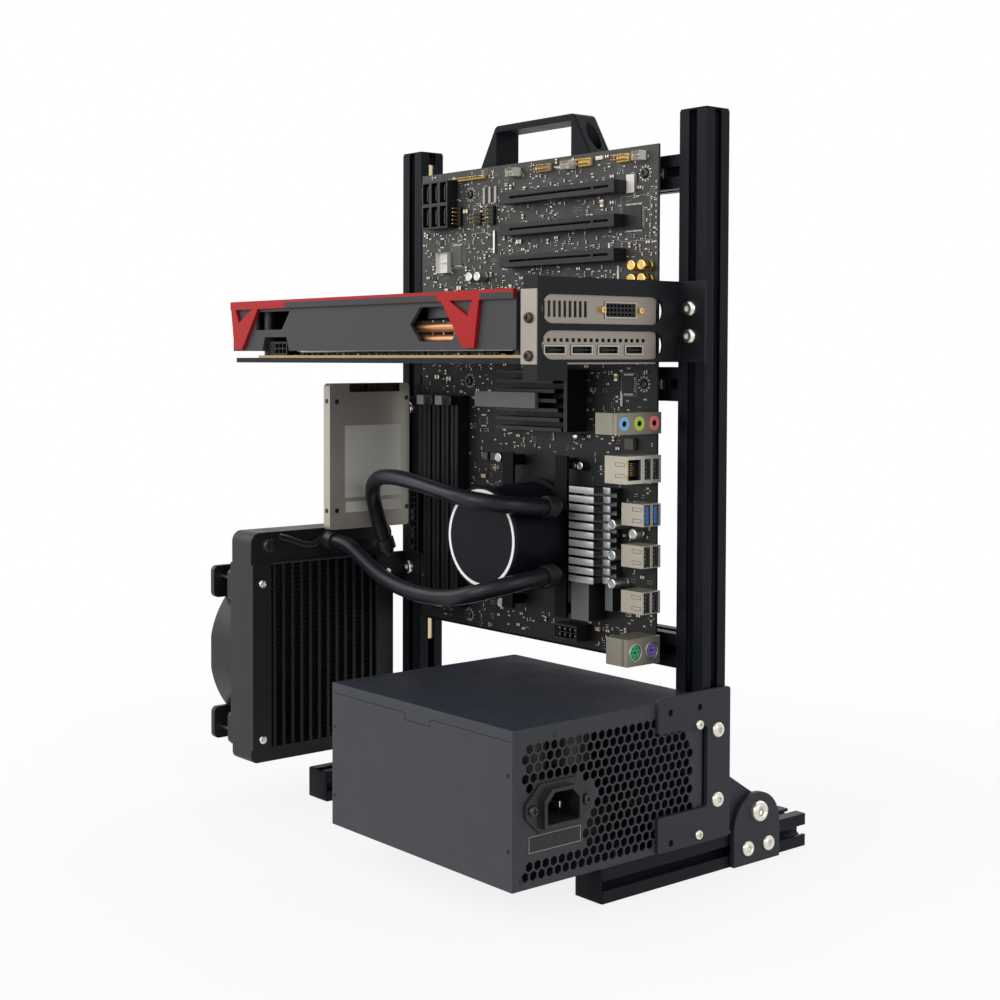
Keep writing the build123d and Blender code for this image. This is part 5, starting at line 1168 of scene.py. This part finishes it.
# Board parts: named ones where the photo shows them, small ones sown between
pumpMiddle = (-99.0, 191.0)
chipLook = {"body": (0.56, 0.9), "end": 0.24, "endTall": 1.02, "endOff": 0.38}
legLook = {"bevel": 0.2, "lift": 0.1, "foot": (0.35, 1.3, 0.25), "rise": (0.35, 0.3), "riseShare": 0.5,
           "riseOff": -0.5, "out": 0.5, "spare": 1.0}
headerLook = {"pitch": 2.54, "slack": 0.1, "tall": 2.5, "bevel": 0.25, "pin": ((0.64, 0.64, 8.4), 0.12)}
boardLook = {
    "headers": ((-171.5, 421.0, 10, 1, "headerAmber"), (-66.8, 421.4, 4, 2, "headerAmber"),
                (-35.2, 420.9, 4, 2, "headerAmber"), (-102.6, 421.3, 5, 2, "ceramicTan"),
                (-164.0, 393.5, 2, 3, "partBlack"), (-151.5, 395.0, 2, 5, "partBlack"),
                (-183.0, 396.5, 1, 5, "partBlack")),
    "cups": ((-129.5, 421.0, 8.0, 5.6, 6.5), (-80.0, 421.0, 8.0, 5.6, 6.5), (-21.5, 421.0, 6.0, 5.6, 6.5),
             (-199.0, 366.0, 12.0, 14.0, 4.2)),
    "cupWalls": (0.8, 1.2), "cupPin": (0.64, 0.64), "pinShort": 1.0, "cupPins": (3, 2.0), "pinUp": 0.8,
    "blocks": ((-55.6, 423.0, 6.0, 2.4, 1.4, "partWhite"), (-31.1, 405.5, 6.6, 11.0, 0.12, "partWhite"),
               (-25.9, 406.0, 1.2, 11.0, 0.9, "partGrey"), (-39.7, 352.0, 1.4, 10.0, 1.2, "partWhite"),
               (-47.2, 366.5, 1.4, 9.0, 1.2, "partWhite"), (-160.0, 408.5, 2.0, 11.0, 1.0, "printPale"),
               (-154.5, 408.5, 2.0, 11.0, 1.0, "printPale"), (-149.0, 408.5, 2.0, 11.0, 1.0, "printPale"),
               (-149.4, 377.5, 1.6, 15.0, 1.6, "solderSilver"), (-36.5, 277.0, 1.4, 9.2, 1.2, "partWhite"),
               (-38.0, 186.5, 0.5, 77.0, 0.05, "printPale"), (-156.0, 236.6, 5.0, 5.0, 3.0, "partGrey"),
               (-148.0, 236.6, 5.0, 5.0, 3.0, "partGrey"), (-28.0, 240.0, 7.0, 7.0, 3.4, "partGrey"),
               (-28.0, 250.0, 7.0, 7.0, 3.4, "partGrey"), (-28.0, 230.0, 7.0, 7.0, 3.4, "partGrey")),
    "blockBevel": 0.2, "bevelShare": 0.3,
    "chips": ((-27.9, 385.0, 14.2, 14.6, 1.6, 14, "partBlack"),
              (-186.7, 370.5, 10.5, 13.0, 1.4, 10, "partGrey"),
              (-31.2, 285.5, 9.0, 10.6, 1.4, 8, "partBlack"),
              (-100.0, 343.0, 12.0, 12.0, 1.4, 12, "partBlack"),
              (-60.0, 330.0, 9.0, 7.0, 1.4, 7, "partBlack"),
              (-150.0, 330.0, 8.0, 8.0, 1.4, 8, "partBlack"), (-155.0, 212.0, 7.0, 7.0, 1.2, 7, "partBlack"),
              (-160.0, 260.0, 6.0, 6.0, 1.2, 6, "partBlack")),
    "chipRoom": 2.4,
    "outlines": ((-26.8, 384.5, 23.4, 27.0), (-31.2, 285.5, 12.6, 14.0), (-100.0, 343.0, 16.5, 16.5),
                 (-60.0, 330.0, 13.0, 11.0), (-164.0, 393.5, 14.0, 18.5), (-186.7, 370.5, 14.5, 17.0)),
    "outlineLine": (0.3, 0.05),
    "cans": ((-70.0, 274.0, 2.6, 6.0), (-72.0, 234.7, 2.6, 6.0), (-66.0, 235.0, 2.6, 6.0),
             (-139.0, 236.6, 3.1, 7.0)),
    "holes": ((-19.16, 410.5), (-19.16, 286.0), (-42.0, 128.6), (-174.1, 410.5), (-174.1, 286.0),
              (-174.1, 128.6)),
    "holeRing": (((0.0, 3.4), (0.06, 3.4), (0.06, 3.8), (0.0, 3.8)), 28), "holeRoom": 10.4,
    "dot": (((0.0, 0.42), (0.15, 0.36), (0.2, 0.0)), 8), "dotRing": (4.5, 12),
    "pins": ((-71.0, 292.0), (-69.5, 253.0), (-133.0, 279.0), (-133.0, 256.0)),
    "pin": (((0.0, 1.2), (6.0, 1.2), (6.0, 2.3), (7.0, 2.1), (7.6, 1.2), (7.7, 0.0)), 18),
    "clamp": (60.0, 60.0, 11.0, 0.8), "clampLift": 5.6, "post": ((6.0, 6.0, 5.6), 0.4), "postReach": 26.5,
    "edgeDot": ((1.0, 1.4, 0.5), 0.1), "edgeDots": (-10.4, 363.0, 405.0, 3.5),
    "keepNodes": "expansion_slots memory_slots board_sockets chipset_heatsink regulator_heatsink "
                 "keyboard_mouse_ports usb_network_ports audio_jacks capacitors pump_bracket small_screws",
    "field": (-222.0, -11.5, 124.0, 425.0), "tries": 5200, "margin": 0.4, "pumpReach": 44.0,
    "thinBelow": 300.0, "thinShare": 0.55,
    # kind, sizes, finish, the room it takes and its share of the sowing
    "small": (("chip", (1.7, 0.9, 0.8), "ceramicTan", (1.7, 0.9), 38),
              ("chip", (1.7, 0.9, 0.5), "partBlack", (1.7, 0.9), 30),
              ("chip", (2.8, 1.6, 1.2), "ceramicTan", (2.8, 1.6), 10),
              ("legged", (2.9, 1.6, 1.0, 3), "partBlack", (4.2, 2.9), 6),
              ("legged", (4.6, 4.6, 1.0, 5), "partBlack", (6.4, 6.4), 3),
              ("chip", (4.2, 2.6, 1.9), "headerAmber", (4.2, 2.6), 3),
              ("outline", (3.2, 2.0, 0.18, 0.04), "printPale", (3.2, 2.0), 14),
              ("dash", (2.6, 0.45, 0.04), "printPale", (2.6, 0.45), 16)),
    "finishes": ["partBlack", "solderSilver", "ceramicTan", "partGrey", "partWhite", "printPale",
                 "headerAmber", "goldPlate", "canSilver"],
}
boardTone = {finish: toneOf(boardLook, finish) for finish in boardLook["finishes"]}
boardSilver = boardTone["solderSilver"]


def chipPart(long, wide, tall, body, ends):
    # a small part with metal at both ends
    alongShare, acrossShare = chipLook["body"]
    off = long * chipLook["endOff"]
    bm = blockPart((long * alongShare, wide * acrossShare, tall), index=body)
    end = blockPart((long * chipLook["end"], wide, tall * chipLook["endTall"]), index=ends)
    stamp(bm, end, [at(off, 0), at(-off, 0)])
    return bm


def leggedPart(wide, high, tall, legs, body, metal):
    # a moulded body with bent legs on four sides
    bm = bmesh.new()
    stamp(bm, blockPart((wide, high, tall), legLook["bevel"], index=body), [at(0, 0, legLook["lift"])])
    leg = blockPart(legLook["foot"], index=metal)
    rise = blockPart((*legLook["rise"], tall * legLook["riseShare"]), index=metal)
    stamp(leg, rise, [at(0, legLook["riseOff"])])
    for side in range(4):
        span, reach = (wide, high) if side % 2 == 0 else (high, wide)
        turn = Matrix.Rotation(side * quarterTurn, 4, "Z")
        pitch = (span - legLook["spare"]) / legs
        stamp(bm, leg, [turn @ at(x, reach / 2 + legLook["out"]) for x in centred(legs, pitch)], keep=True)
    leg.free()
    return bm


def headerPart(columns, rows, plastic, metal):
    size = (columns * headerLook["pitch"], rows * headerLook["pitch"])
    base = [side - headerLook["slack"] for side in size]
    bm = blockPart((*base, headerLook["tall"]), headerLook["bevel"], index=plastic)
    pin = blockPart(*headerLook["pin"], index=metal)
    stamp(bm, pin, [at(x, y) for x, y in cellPlaces(size, columns, rows)])
    return bm


def smallPart(kind, sizes, body):
    if kind == "chip":
        return chipPart(*sizes, body, boardSilver)
    if kind == "legged":
        return leggedPart(*sizes, body, boardSilver)
    if kind == "outline":
        return framePart(*sizes, body)
    return blockPart(sizes, index=body)


def keepOuts():
    # rectangles on the board that carry something already
    rectangles = []
    for node in boardLook["keepNodes"].split():
        for points in solidsOf(node):
            low, high = [measured(corner) for corner in limitsOf(points)]
            rectangles.append((low.x, high.x, low.z, high.z))
    return rectangles


taken = keepOuts()


def claim(x, z, wide, high):
    taken.append((x - wide / 2, x + wide / 2, z - high / 2, z + high / 2))


def addConnectors(bm):
    pitch = headerLook["pitch"]
    for x, z, columns, rows, shade in boardLook["headers"]:
        stamp(bm, headerPart(columns, rows, boardTone[shade], boardTone["goldPlate"]), [onBoard(x, z)])
        claim(x, z, columns * pitch, rows * pitch)
    for x, z, wide, high, tall in boardLook["cups"]:
        place = onBoard(x, z)
        stamp(bm, cupPart((wide, high, tall), *boardLook["cupWalls"], boardTone["partWhite"]), [place])
        pin = blockPart((*boardLook["cupPin"], tall - boardLook["pinShort"]), index=boardSilver)
        stamp(bm, pin, [place @ at(step, 0, boardLook["pinUp"]) for step in centred(*boardLook["cupPins"])])
        claim(x, z, wide, high)


def addChips(bm):
    room = boardLook["chipRoom"]
    for x, z, wide, high, tall, shade in boardLook["blocks"]:
        bevel = min(boardLook["blockBevel"], tall * boardLook["bevelShare"])
        stamp(bm, blockPart((wide, high, tall), bevel, index=boardTone[shade]), [onBoard(x, z)])
        claim(x, z, wide, high)
    for x, z, wide, high, tall, legs, shade in boardLook["chips"]:
        stamp(bm, leggedPart(wide, high, tall, legs, boardTone[shade], boardSilver), [onBoard(x, z)])
        claim(x, z, wide + room, high + room)
    for x, z, wide, high in boardLook["outlines"]:
        stamp(bm, framePart(wide, high, *boardLook["outlineLine"], boardTone["printPale"]), [onBoard(x, z)])


def addRoundParts(bm):
    room = boardLook["holeRoom"]
    for x, z, radius, height in boardLook["cans"]:
        stamp(bm, canPart(radius, height, boardTone["partBlack"], boardTone["canSilver"]), [onBoard(x, z)])
        claim(x, z, 2 * radius, 2 * radius)
    for x, z in boardLook["holes"]:
        addParts(bm, turnedPart, boardLook, "holeRing", "printPale", [onBoard(x, z)])
        dots = [onBoard(x + across, z + up) for across, up in aroundRing(*boardLook["dotRing"])]
        addParts(bm, turnedPart, boardLook, "dot", "solderSilver", dots)
        claim(x, z, room, room)
    addParts(bm, turnedPart, boardLook, "pin", "canSilver", [onBoard(x, z) for x, z in boardLook["pins"]])


def addClampFrame(bm):
    # the processor's clamp frame, its corners in view round the pump
    frameAt = onBoard(*pumpMiddle, lift=boardLook["clampLift"])
    addParts(bm, framePart, boardLook, "clamp", "solderSilver", [frameAt])
    corners = [onBoard(x, z) for x, z in cornersRound(pumpMiddle, boardLook["postReach"])]
    addParts(bm, blockPart, boardLook, "post", "partBlack", corners)


def addEdgeDots(bm):
    x, low, high, pitch = boardLook["edgeDots"]
    dots = [onBoard(x, low + step * pitch) for step in range(int((high - low) / pitch) + 1)]
    addParts(bm, blockPart, boardLook, "edgeDot", "printPale", dots)


def sowParts(bm):
    kinds = boardLook["small"]
    shares = [kind[-1] for kind in kinds]
    left, right, base, top = boardLook["field"]
    margin = boardLook["margin"]
    places = [[] for kind in kinds]
    for attempt in range(boardLook["tries"]):
        x, z = draw.uniform(left, right), draw.uniform(base, top)
        chosen = draw.choices(range(len(kinds)), shares)[0]
        quarter = draw.randrange(2)
        room = kinds[chosen][3]
        wide, high = room[::-1] if quarter else room
        reachX, reachZ = wide / 2 + margin, high / 2 + margin
        if math.dist((x, z), pumpMiddle) < boardLook["pumpReach"]:
            continue
        if z < boardLook["thinBelow"] and draw.random() < boardLook["thinShare"]:
            continue
        if any(x0 - reachX < x < x1 + reachX and z0 - reachZ < z < z1 + reachZ for x0, x1, z0, z1 in taken):
            continue
        claim(x, z, wide, high)
        places[chosen].append(onBoard(x, z, quarter))
    for (kind, sizes, finish, room, share), spots in zip(kinds, places):
        stamp(bm, smallPart(kind, sizes, boardTone[finish]), spots)
    print("small parts sown:", sum(len(spots) for spots in places))


makePiece("boardParts", boardLook, "board_laminate", addConnectors, addChips, addRoundParts, addClampFrame,
          addEdgeDots, sowParts)
print("board parts placed")


# Solder side: joints under the slots and ports, and the cooler's back plate
solderLook = {
    "joint": (((0.0, 0.75), (0.35, 0.6), (0.8, 0.3), (1.1, 0.0)), 6), "lowRow": 302.3,
    "slotPitch": 2.0, "slotJoints": 44, "slotAside": 1.4,
    "memoryStart": 140.0, "memoryPitch": 2.2, "memoryJoints": 60, "memoryAside": 1.3,
    "portStart": (-19.0, 128.0), "portStep": (2.5, 2.4), "portJoints": 60,
    "plate": ((58.0, 58.0, 2.2), 0.8, 2),
    "post": (((0.0, 4.2), (3.4, 4.2), (3.8, 3.7), (3.8, 0.0)), 20), "postReach": 24.0,
    "finishes": ["solderSilver", "blackSheet"],
}
boardBack = localBox("main_board")[1].y


def onBack(x, z):
    # a part's z away from the board's solder side
    return facing(spot(x, boardBack, z), (0, 1, 0))


def addJoints(bm):
    left = socketLook["slotGroove"][0]
    acrosses = [left + step * solderLook["slotPitch"] for step in range(solderLook["slotJoints"])]
    rows = (*socketLook["slotLevels"], solderLook["lowRow"])
    places = [(x, level + side * solderLook["slotAside"])
              for level in rows for x in acrosses for side in bothWays]
    base, pitch = solderLook["memoryStart"], solderLook["memoryPitch"]
    levels = [base + step * pitch for step in range(solderLook["memoryJoints"])]
    places += [(x + side * solderLook["memoryAside"], level)
               for x in socketLook["memoryMiddles"] for level in levels for side in bothWays]
    (x, z), (across, up) = solderLook["portStart"], solderLook["portStep"]
    places += [(x + step % 2 * across, z + step * up) for step in range(solderLook["portJoints"])]
    addParts(bm, turnedPart, solderLook, "joint", "solderSilver", [onBack(*place) for place in places])


def addBackPlate(bm):
    addParts(bm, blockPart, solderLook, "plate", "blackSheet", [onBack(*pumpMiddle)])
    corners = [onBack(x, z) for x, z in cornersRound(pumpMiddle, solderLook["postReach"])]
    addParts(bm, turnedPart, solderLook, "post", "solderSilver", corners)


makePiece("solderSide", solderLook, "board_laminate", addJoints, addBackPlate)
print("solder side done")


# Card: black liners that paint the shade inside its sockets, the parts along its board's front edge and the
# chips under its shroud
cardLook = {
    "linerX": -2.4, "display": ((-39.0, 15.0), (-60.0, 17.0), (-81.0, 17.0), (-102.0, 17.0)), "level": 305.9,
    "linerIn": 1.9, "shadeLiner": (3.7, 3.8), "linerWalls": (0.25, 0.3),
    "tongueIn": 5.5, "tongue": (1.1, 3.4), "tongueBevel": 0.15, "tongueUp": 0.1,
    "videoAt": (-50.0, 328.4), "video": ((24.0, 7.4, 3.6), (8, 3), 1.5, 3.0),
    "post": (((0.0, 1.0), (0.0, 1.9), (2.2, 1.9), (2.5, 1.6), (2.5, 0.9), (1.2, 0.9), (1.2, 0.0)), 6),
    "postX": 0.9, "postAside": 15.4,
    "powerAt": (-238.5, -115.6, 307.6), "power": ((17.0, 7.0, 3.6), (4, 2), 0.9, 3.2),
    "edge": (-222.0, -14.0, 303.15, -117.2), "edgeParts": 44, "edgeSpread": (0.2, 0.8), "edgeTan": 0.3,
    "edgeSizes": ((1.6, 2.8), (0.9, 1.5), (0.6, 1.2)), "edgeDepth": (-1.0, 3.0),
    "chipRows": ((-106.0, 0.0), (-94.0, 6.5), (-82.0, 3.0)), "chipRun": (-222.0, -18.0, 13.0),
    "chip": (11.4, 9.0), "chipBevel": 0.2, "chipGap": 0.25,
    "finishes": ["socketBlack", "goldPlate", "partGrey", "ceramicTan", "partBlack"],
}


def addCardSockets(bm):
    dark, black = toneOf(cardLook, "socketBlack"), toneOf(cardLook, "partBlack")
    for y, wide in cardLook["display"]:
        place = onSide(cardLook["linerX"], y, cardLook["level"], quarterTurn)
        size = (wide - cardLook["linerIn"], *cardLook["shadeLiner"])
        stamp(bm, cupPart(size, *cardLook["linerWalls"], dark), [place])
        size = (wide - cardLook["tongueIn"], *cardLook["tongue"])
        tongue = blockPart(size, cardLook["tongueBevel"], index=black)
        stamp(bm, tongue, [place @ at(0, 0, cardLook["tongueUp"])])
    y, level = cardLook["videoAt"]
    stamp(bm, holePlate(*cardLook["video"], black, dark), [onSide(cardLook["linerX"], y, level, quarterTurn)])
    posts = [onSide(cardLook["postX"], y + side * cardLook["postAside"], level) for side in bothWays]
    addParts(bm, turnedPart, cardLook, "post", "goldPlate", posts)
    stamp(bm, holePlate(*cardLook["power"], dark, black), [facing(spot(*cardLook["powerAt"]), (0, -1, 0))])


def addEdgeParts(bm):
    left, right, level, y = cardLook["edge"]
    pitch = (right - left) / cardLook["edgeParts"]
    metal = toneOf(cardLook, "partGrey")
    for step in range(cardLook["edgeParts"]):
        x = left + pitch * (step + draw.uniform(*cardLook["edgeSpread"]))
        body = toneOf(cardLook, "ceramicTan" if draw.random() < cardLook["edgeTan"] else "partBlack")
        part = chipPart(*[draw.uniform(*limits) for limits in cardLook["edgeSizes"]], body, metal)
        place = Matrix.Translation(spot(x, y + draw.uniform(*cardLook["edgeDepth"]), level))
        stamp(bm, part, [place @ Matrix.Rotation(draw.randrange(2) * quarterTurn, 4, "Z")])


def addMemoryChips(bm):
    # staggered rows on the laminate, where the shroud's rim stands too
    start, end, pitch = cardLook["chipRun"]
    laminateTop = localBox("card_shroud")[0].z
    tall = localBox("card_heatsink")[0].z - laminateTop - cardLook["chipGap"]
    chip = blockPart((*cardLook["chip"], tall), cardLook["chipBevel"], index=toneOf(cardLook, "partBlack"))
    stamp(bm, chip, [Matrix.Translation(spot(start + shift + step * pitch, y, laminateTop))
                     for y, shift in cardLook["chipRows"] for step in range(int((end - start) / pitch))])
    print("card chips stand", round(tall, 2), "mm tall")


makePiece("cardParts", cardLook, "black_plastic", addCardSockets, addEdgeParts, addMemoryChips)
print("card parts placed")


# Power supply: inlet blades and the bare plate beside the grille
supplyLook = {
    "blades": ((-117.0, 66.0), (-124.0, 59.5), (-110.0, 59.5)), "blade": ((2.0, 4.2, 15.5), 0.4, 2),
    "floor": 0.0,
    "plateAt": (-118.75, 43.35), "plate": ((39.5, 9.7, 0.15), 0), "border": (38.7, 8.9, 0.4, 0.2),
    "dots": ((-143.6, 24.7), (-119.2, 99.9)), "dot": (((0.0, 1.6), (0.25, 1.5), (0.25, 0.0)), 18),
    "finishes": ["brightScrew", "partBlack", "printPale"],
}


def addSupplyParts(bm):
    face = localBox("psu_case")[1].x
    blades = [onSide(supplyLook["floor"], y, z, quarterTurn) for y, z in supplyLook["blades"]]
    addParts(bm, blockPart, supplyLook, "blade", "brightScrew", blades)
    place = onSide(face, *supplyLook["plateAt"], quarterTurn)
    addParts(bm, blockPart, supplyLook, "plate", "partBlack", [place])
    addParts(bm, framePart, supplyLook, "border", "printPale", [place])
    dots = [onSide(face, y, z) for y, z in supplyLook["dots"]]
    addParts(bm, turnedPart, supplyLook, "dot", "partBlack", dots)


makePiece("supplyParts", supplyLook, "supply_paint", addSupplyParts)
print("power supply dressed")


# Solid state drive: plain label fields, and dark discs painted as the shade in its screw holes
driveLook = {
    "fields": (("broad", -37.85, 230.25), ("narrow", -37.15, 199.0)),
    "broad": ((49.3, 49.5, 0.12), 0.04), "narrow": ((49.7, 7.3, 0.12), 0.04),
    "dots": ((-8.4, 273.5), (-8.0, 196.6), (-69.5, 271.5), (-69.5, 197.0)), "sideDots": (272.0, 197.0),
    "dot": (((0.0, 1.7), (0.1, 1.7), (0.1, 0.0)), 18), "finishes": ["labelPale", "partBlack"],
}


def addDriveParts(bm):
    low, high = localBox("solid_state_drive")
    for key, y, z in driveLook["fields"]:
        addParts(bm, blockPart, driveLook, key, "labelPale", [onSide(high.x, y, z, quarterTurn)])
    places = [onSide(high.x, y, z) for y, z in driveLook["dots"]]
    places += [facing(spot((low.x + high.x) / 2, low.y, z), (0, -1, 0)) for z in driveLook["sideDots"]]
    addParts(bm, turnedPart, driveLook, "dot", "partBlack", places)


makePiece("driveLabels", driveLook, "grey_aluminium", addDriveParts)
print("drive dressed")


# Regulator: broad bright ends on its fins
barLook = {
    "base": 166.0, "tall": 57.0, "fin": 2.8, "count": 11,
    "rows": (("broad", -52.25, 18.0), ("narrow", -39.0, 10.0)),
    "broad": ((20.4, 4.0, 0.6), 0.25, 2), "narrow": ((5.8, 4.0, 0.6), 0.25, 2), "finishes": ["sinkBright"],
}


def addBars(bm):
    pitch = (barLook["tall"] - barLook["fin"]) / (barLook["count"] - 1)
    levels = [barLook["base"] + barLook["fin"] / 2 + pitch * index for index in range(barLook["count"])]
    for key, x, lift in barLook["rows"]:
        bars = [onBoard(x, level, lift=lift) for level in levels]
        addParts(bm, blockPart, barLook, key, "sinkBright", bars)


makePiece("regulatorBars", barLook, "grey_aluminium", addBars)
print("regulator barred")


# Radiator tank: its fill plug, the moulded wave below its top and the fold along its foot
tankLook = {
    "inset": 2.0,
    "ribs": {"tankWave": (5.0, ((-110.0, 181.0), (-100.0, 178.6), (-90.0, 174.2), (-80.0, 173.6),
                                (-72.0, 178.5), (-66.0, 184.0))),
             "tankFold": (2.6, ((-130.5, 163.6), (-72.0, 163.6), (-13.5, 163.6)))},
    "plug": {"head": 9.4, "dome": 0.75, "socket": 4.8, "depth": 0.9, "cross": True},
    "plugInset": (14.0, 9.0), "plugProud": 1.2, "plugHigh": 1.5, "plugShank": (3.0, 1.0),
}


def addTankForms():
    low, high = localBox("radiator")
    face = high.x - tankLook["inset"]
    for name, (thick, route) in tankLook["ribs"].items():
        rib = layTube(name, [spot(face, y, z) for y, z in route], thick, "coolerBlack")
    across, down = tankLook["plugInset"]
    plug = screwPart(tankLook["plug"], tankLook["plugHigh"], *tankLook["plugShank"])
    bm = bmesh.new()
    stamp(bm, plug, [onSide(face + tankLook["plugProud"], low.y + across, high.z - down)])
    return finishPiece("tankPlug", bm, ["darkScrew"])


addTankForms()
print("tank dressed")


# Rail caps: closed tops on the uprights, closed fronts on the feet
capLook = {"thick": 1.2, "inset": 0.3, "bevel": 0.5, "lipIn": 5.0, "lip": (0.6, 0.15), "lipUp": 1.18}


def stampCap(bm, node, direction):
    # a plate with a raised lip inside its edge, on the rail's end that a direction points to
    low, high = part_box(node)
    wide = (high.x - low.x) / mm - capLook["inset"]
    inner = wide - capLook["lipIn"]
    cap = blockPart((wide, wide, capLook["thick"]), capLook["bevel"], 2)
    stamp(cap, framePart(inner, inner, *capLook["lip"]), [at(0, 0, capLook["lipUp"])])
    place = (low + high) / 2 + Vector(direction) * (high - low) / 2
    stamp(bm, cap, [facing(place, direction)])


def addCaps():
    tops = bmesh.new()
    for node in ("right_upright", "left_upright"):
        stampCap(tops, node, (0, 0, 1))
    finishPiece("uprightCaps", tops, ["handleNylon"])
    for side in ("right", "left"):
        front = bmesh.new()
        stampCap(front, side + "_foot_rail", (0, -1, 0))
        finishPiece(side + "FootCap", front, ["handleNylon"], side + "_foot")


addCaps()
print("rails capped")
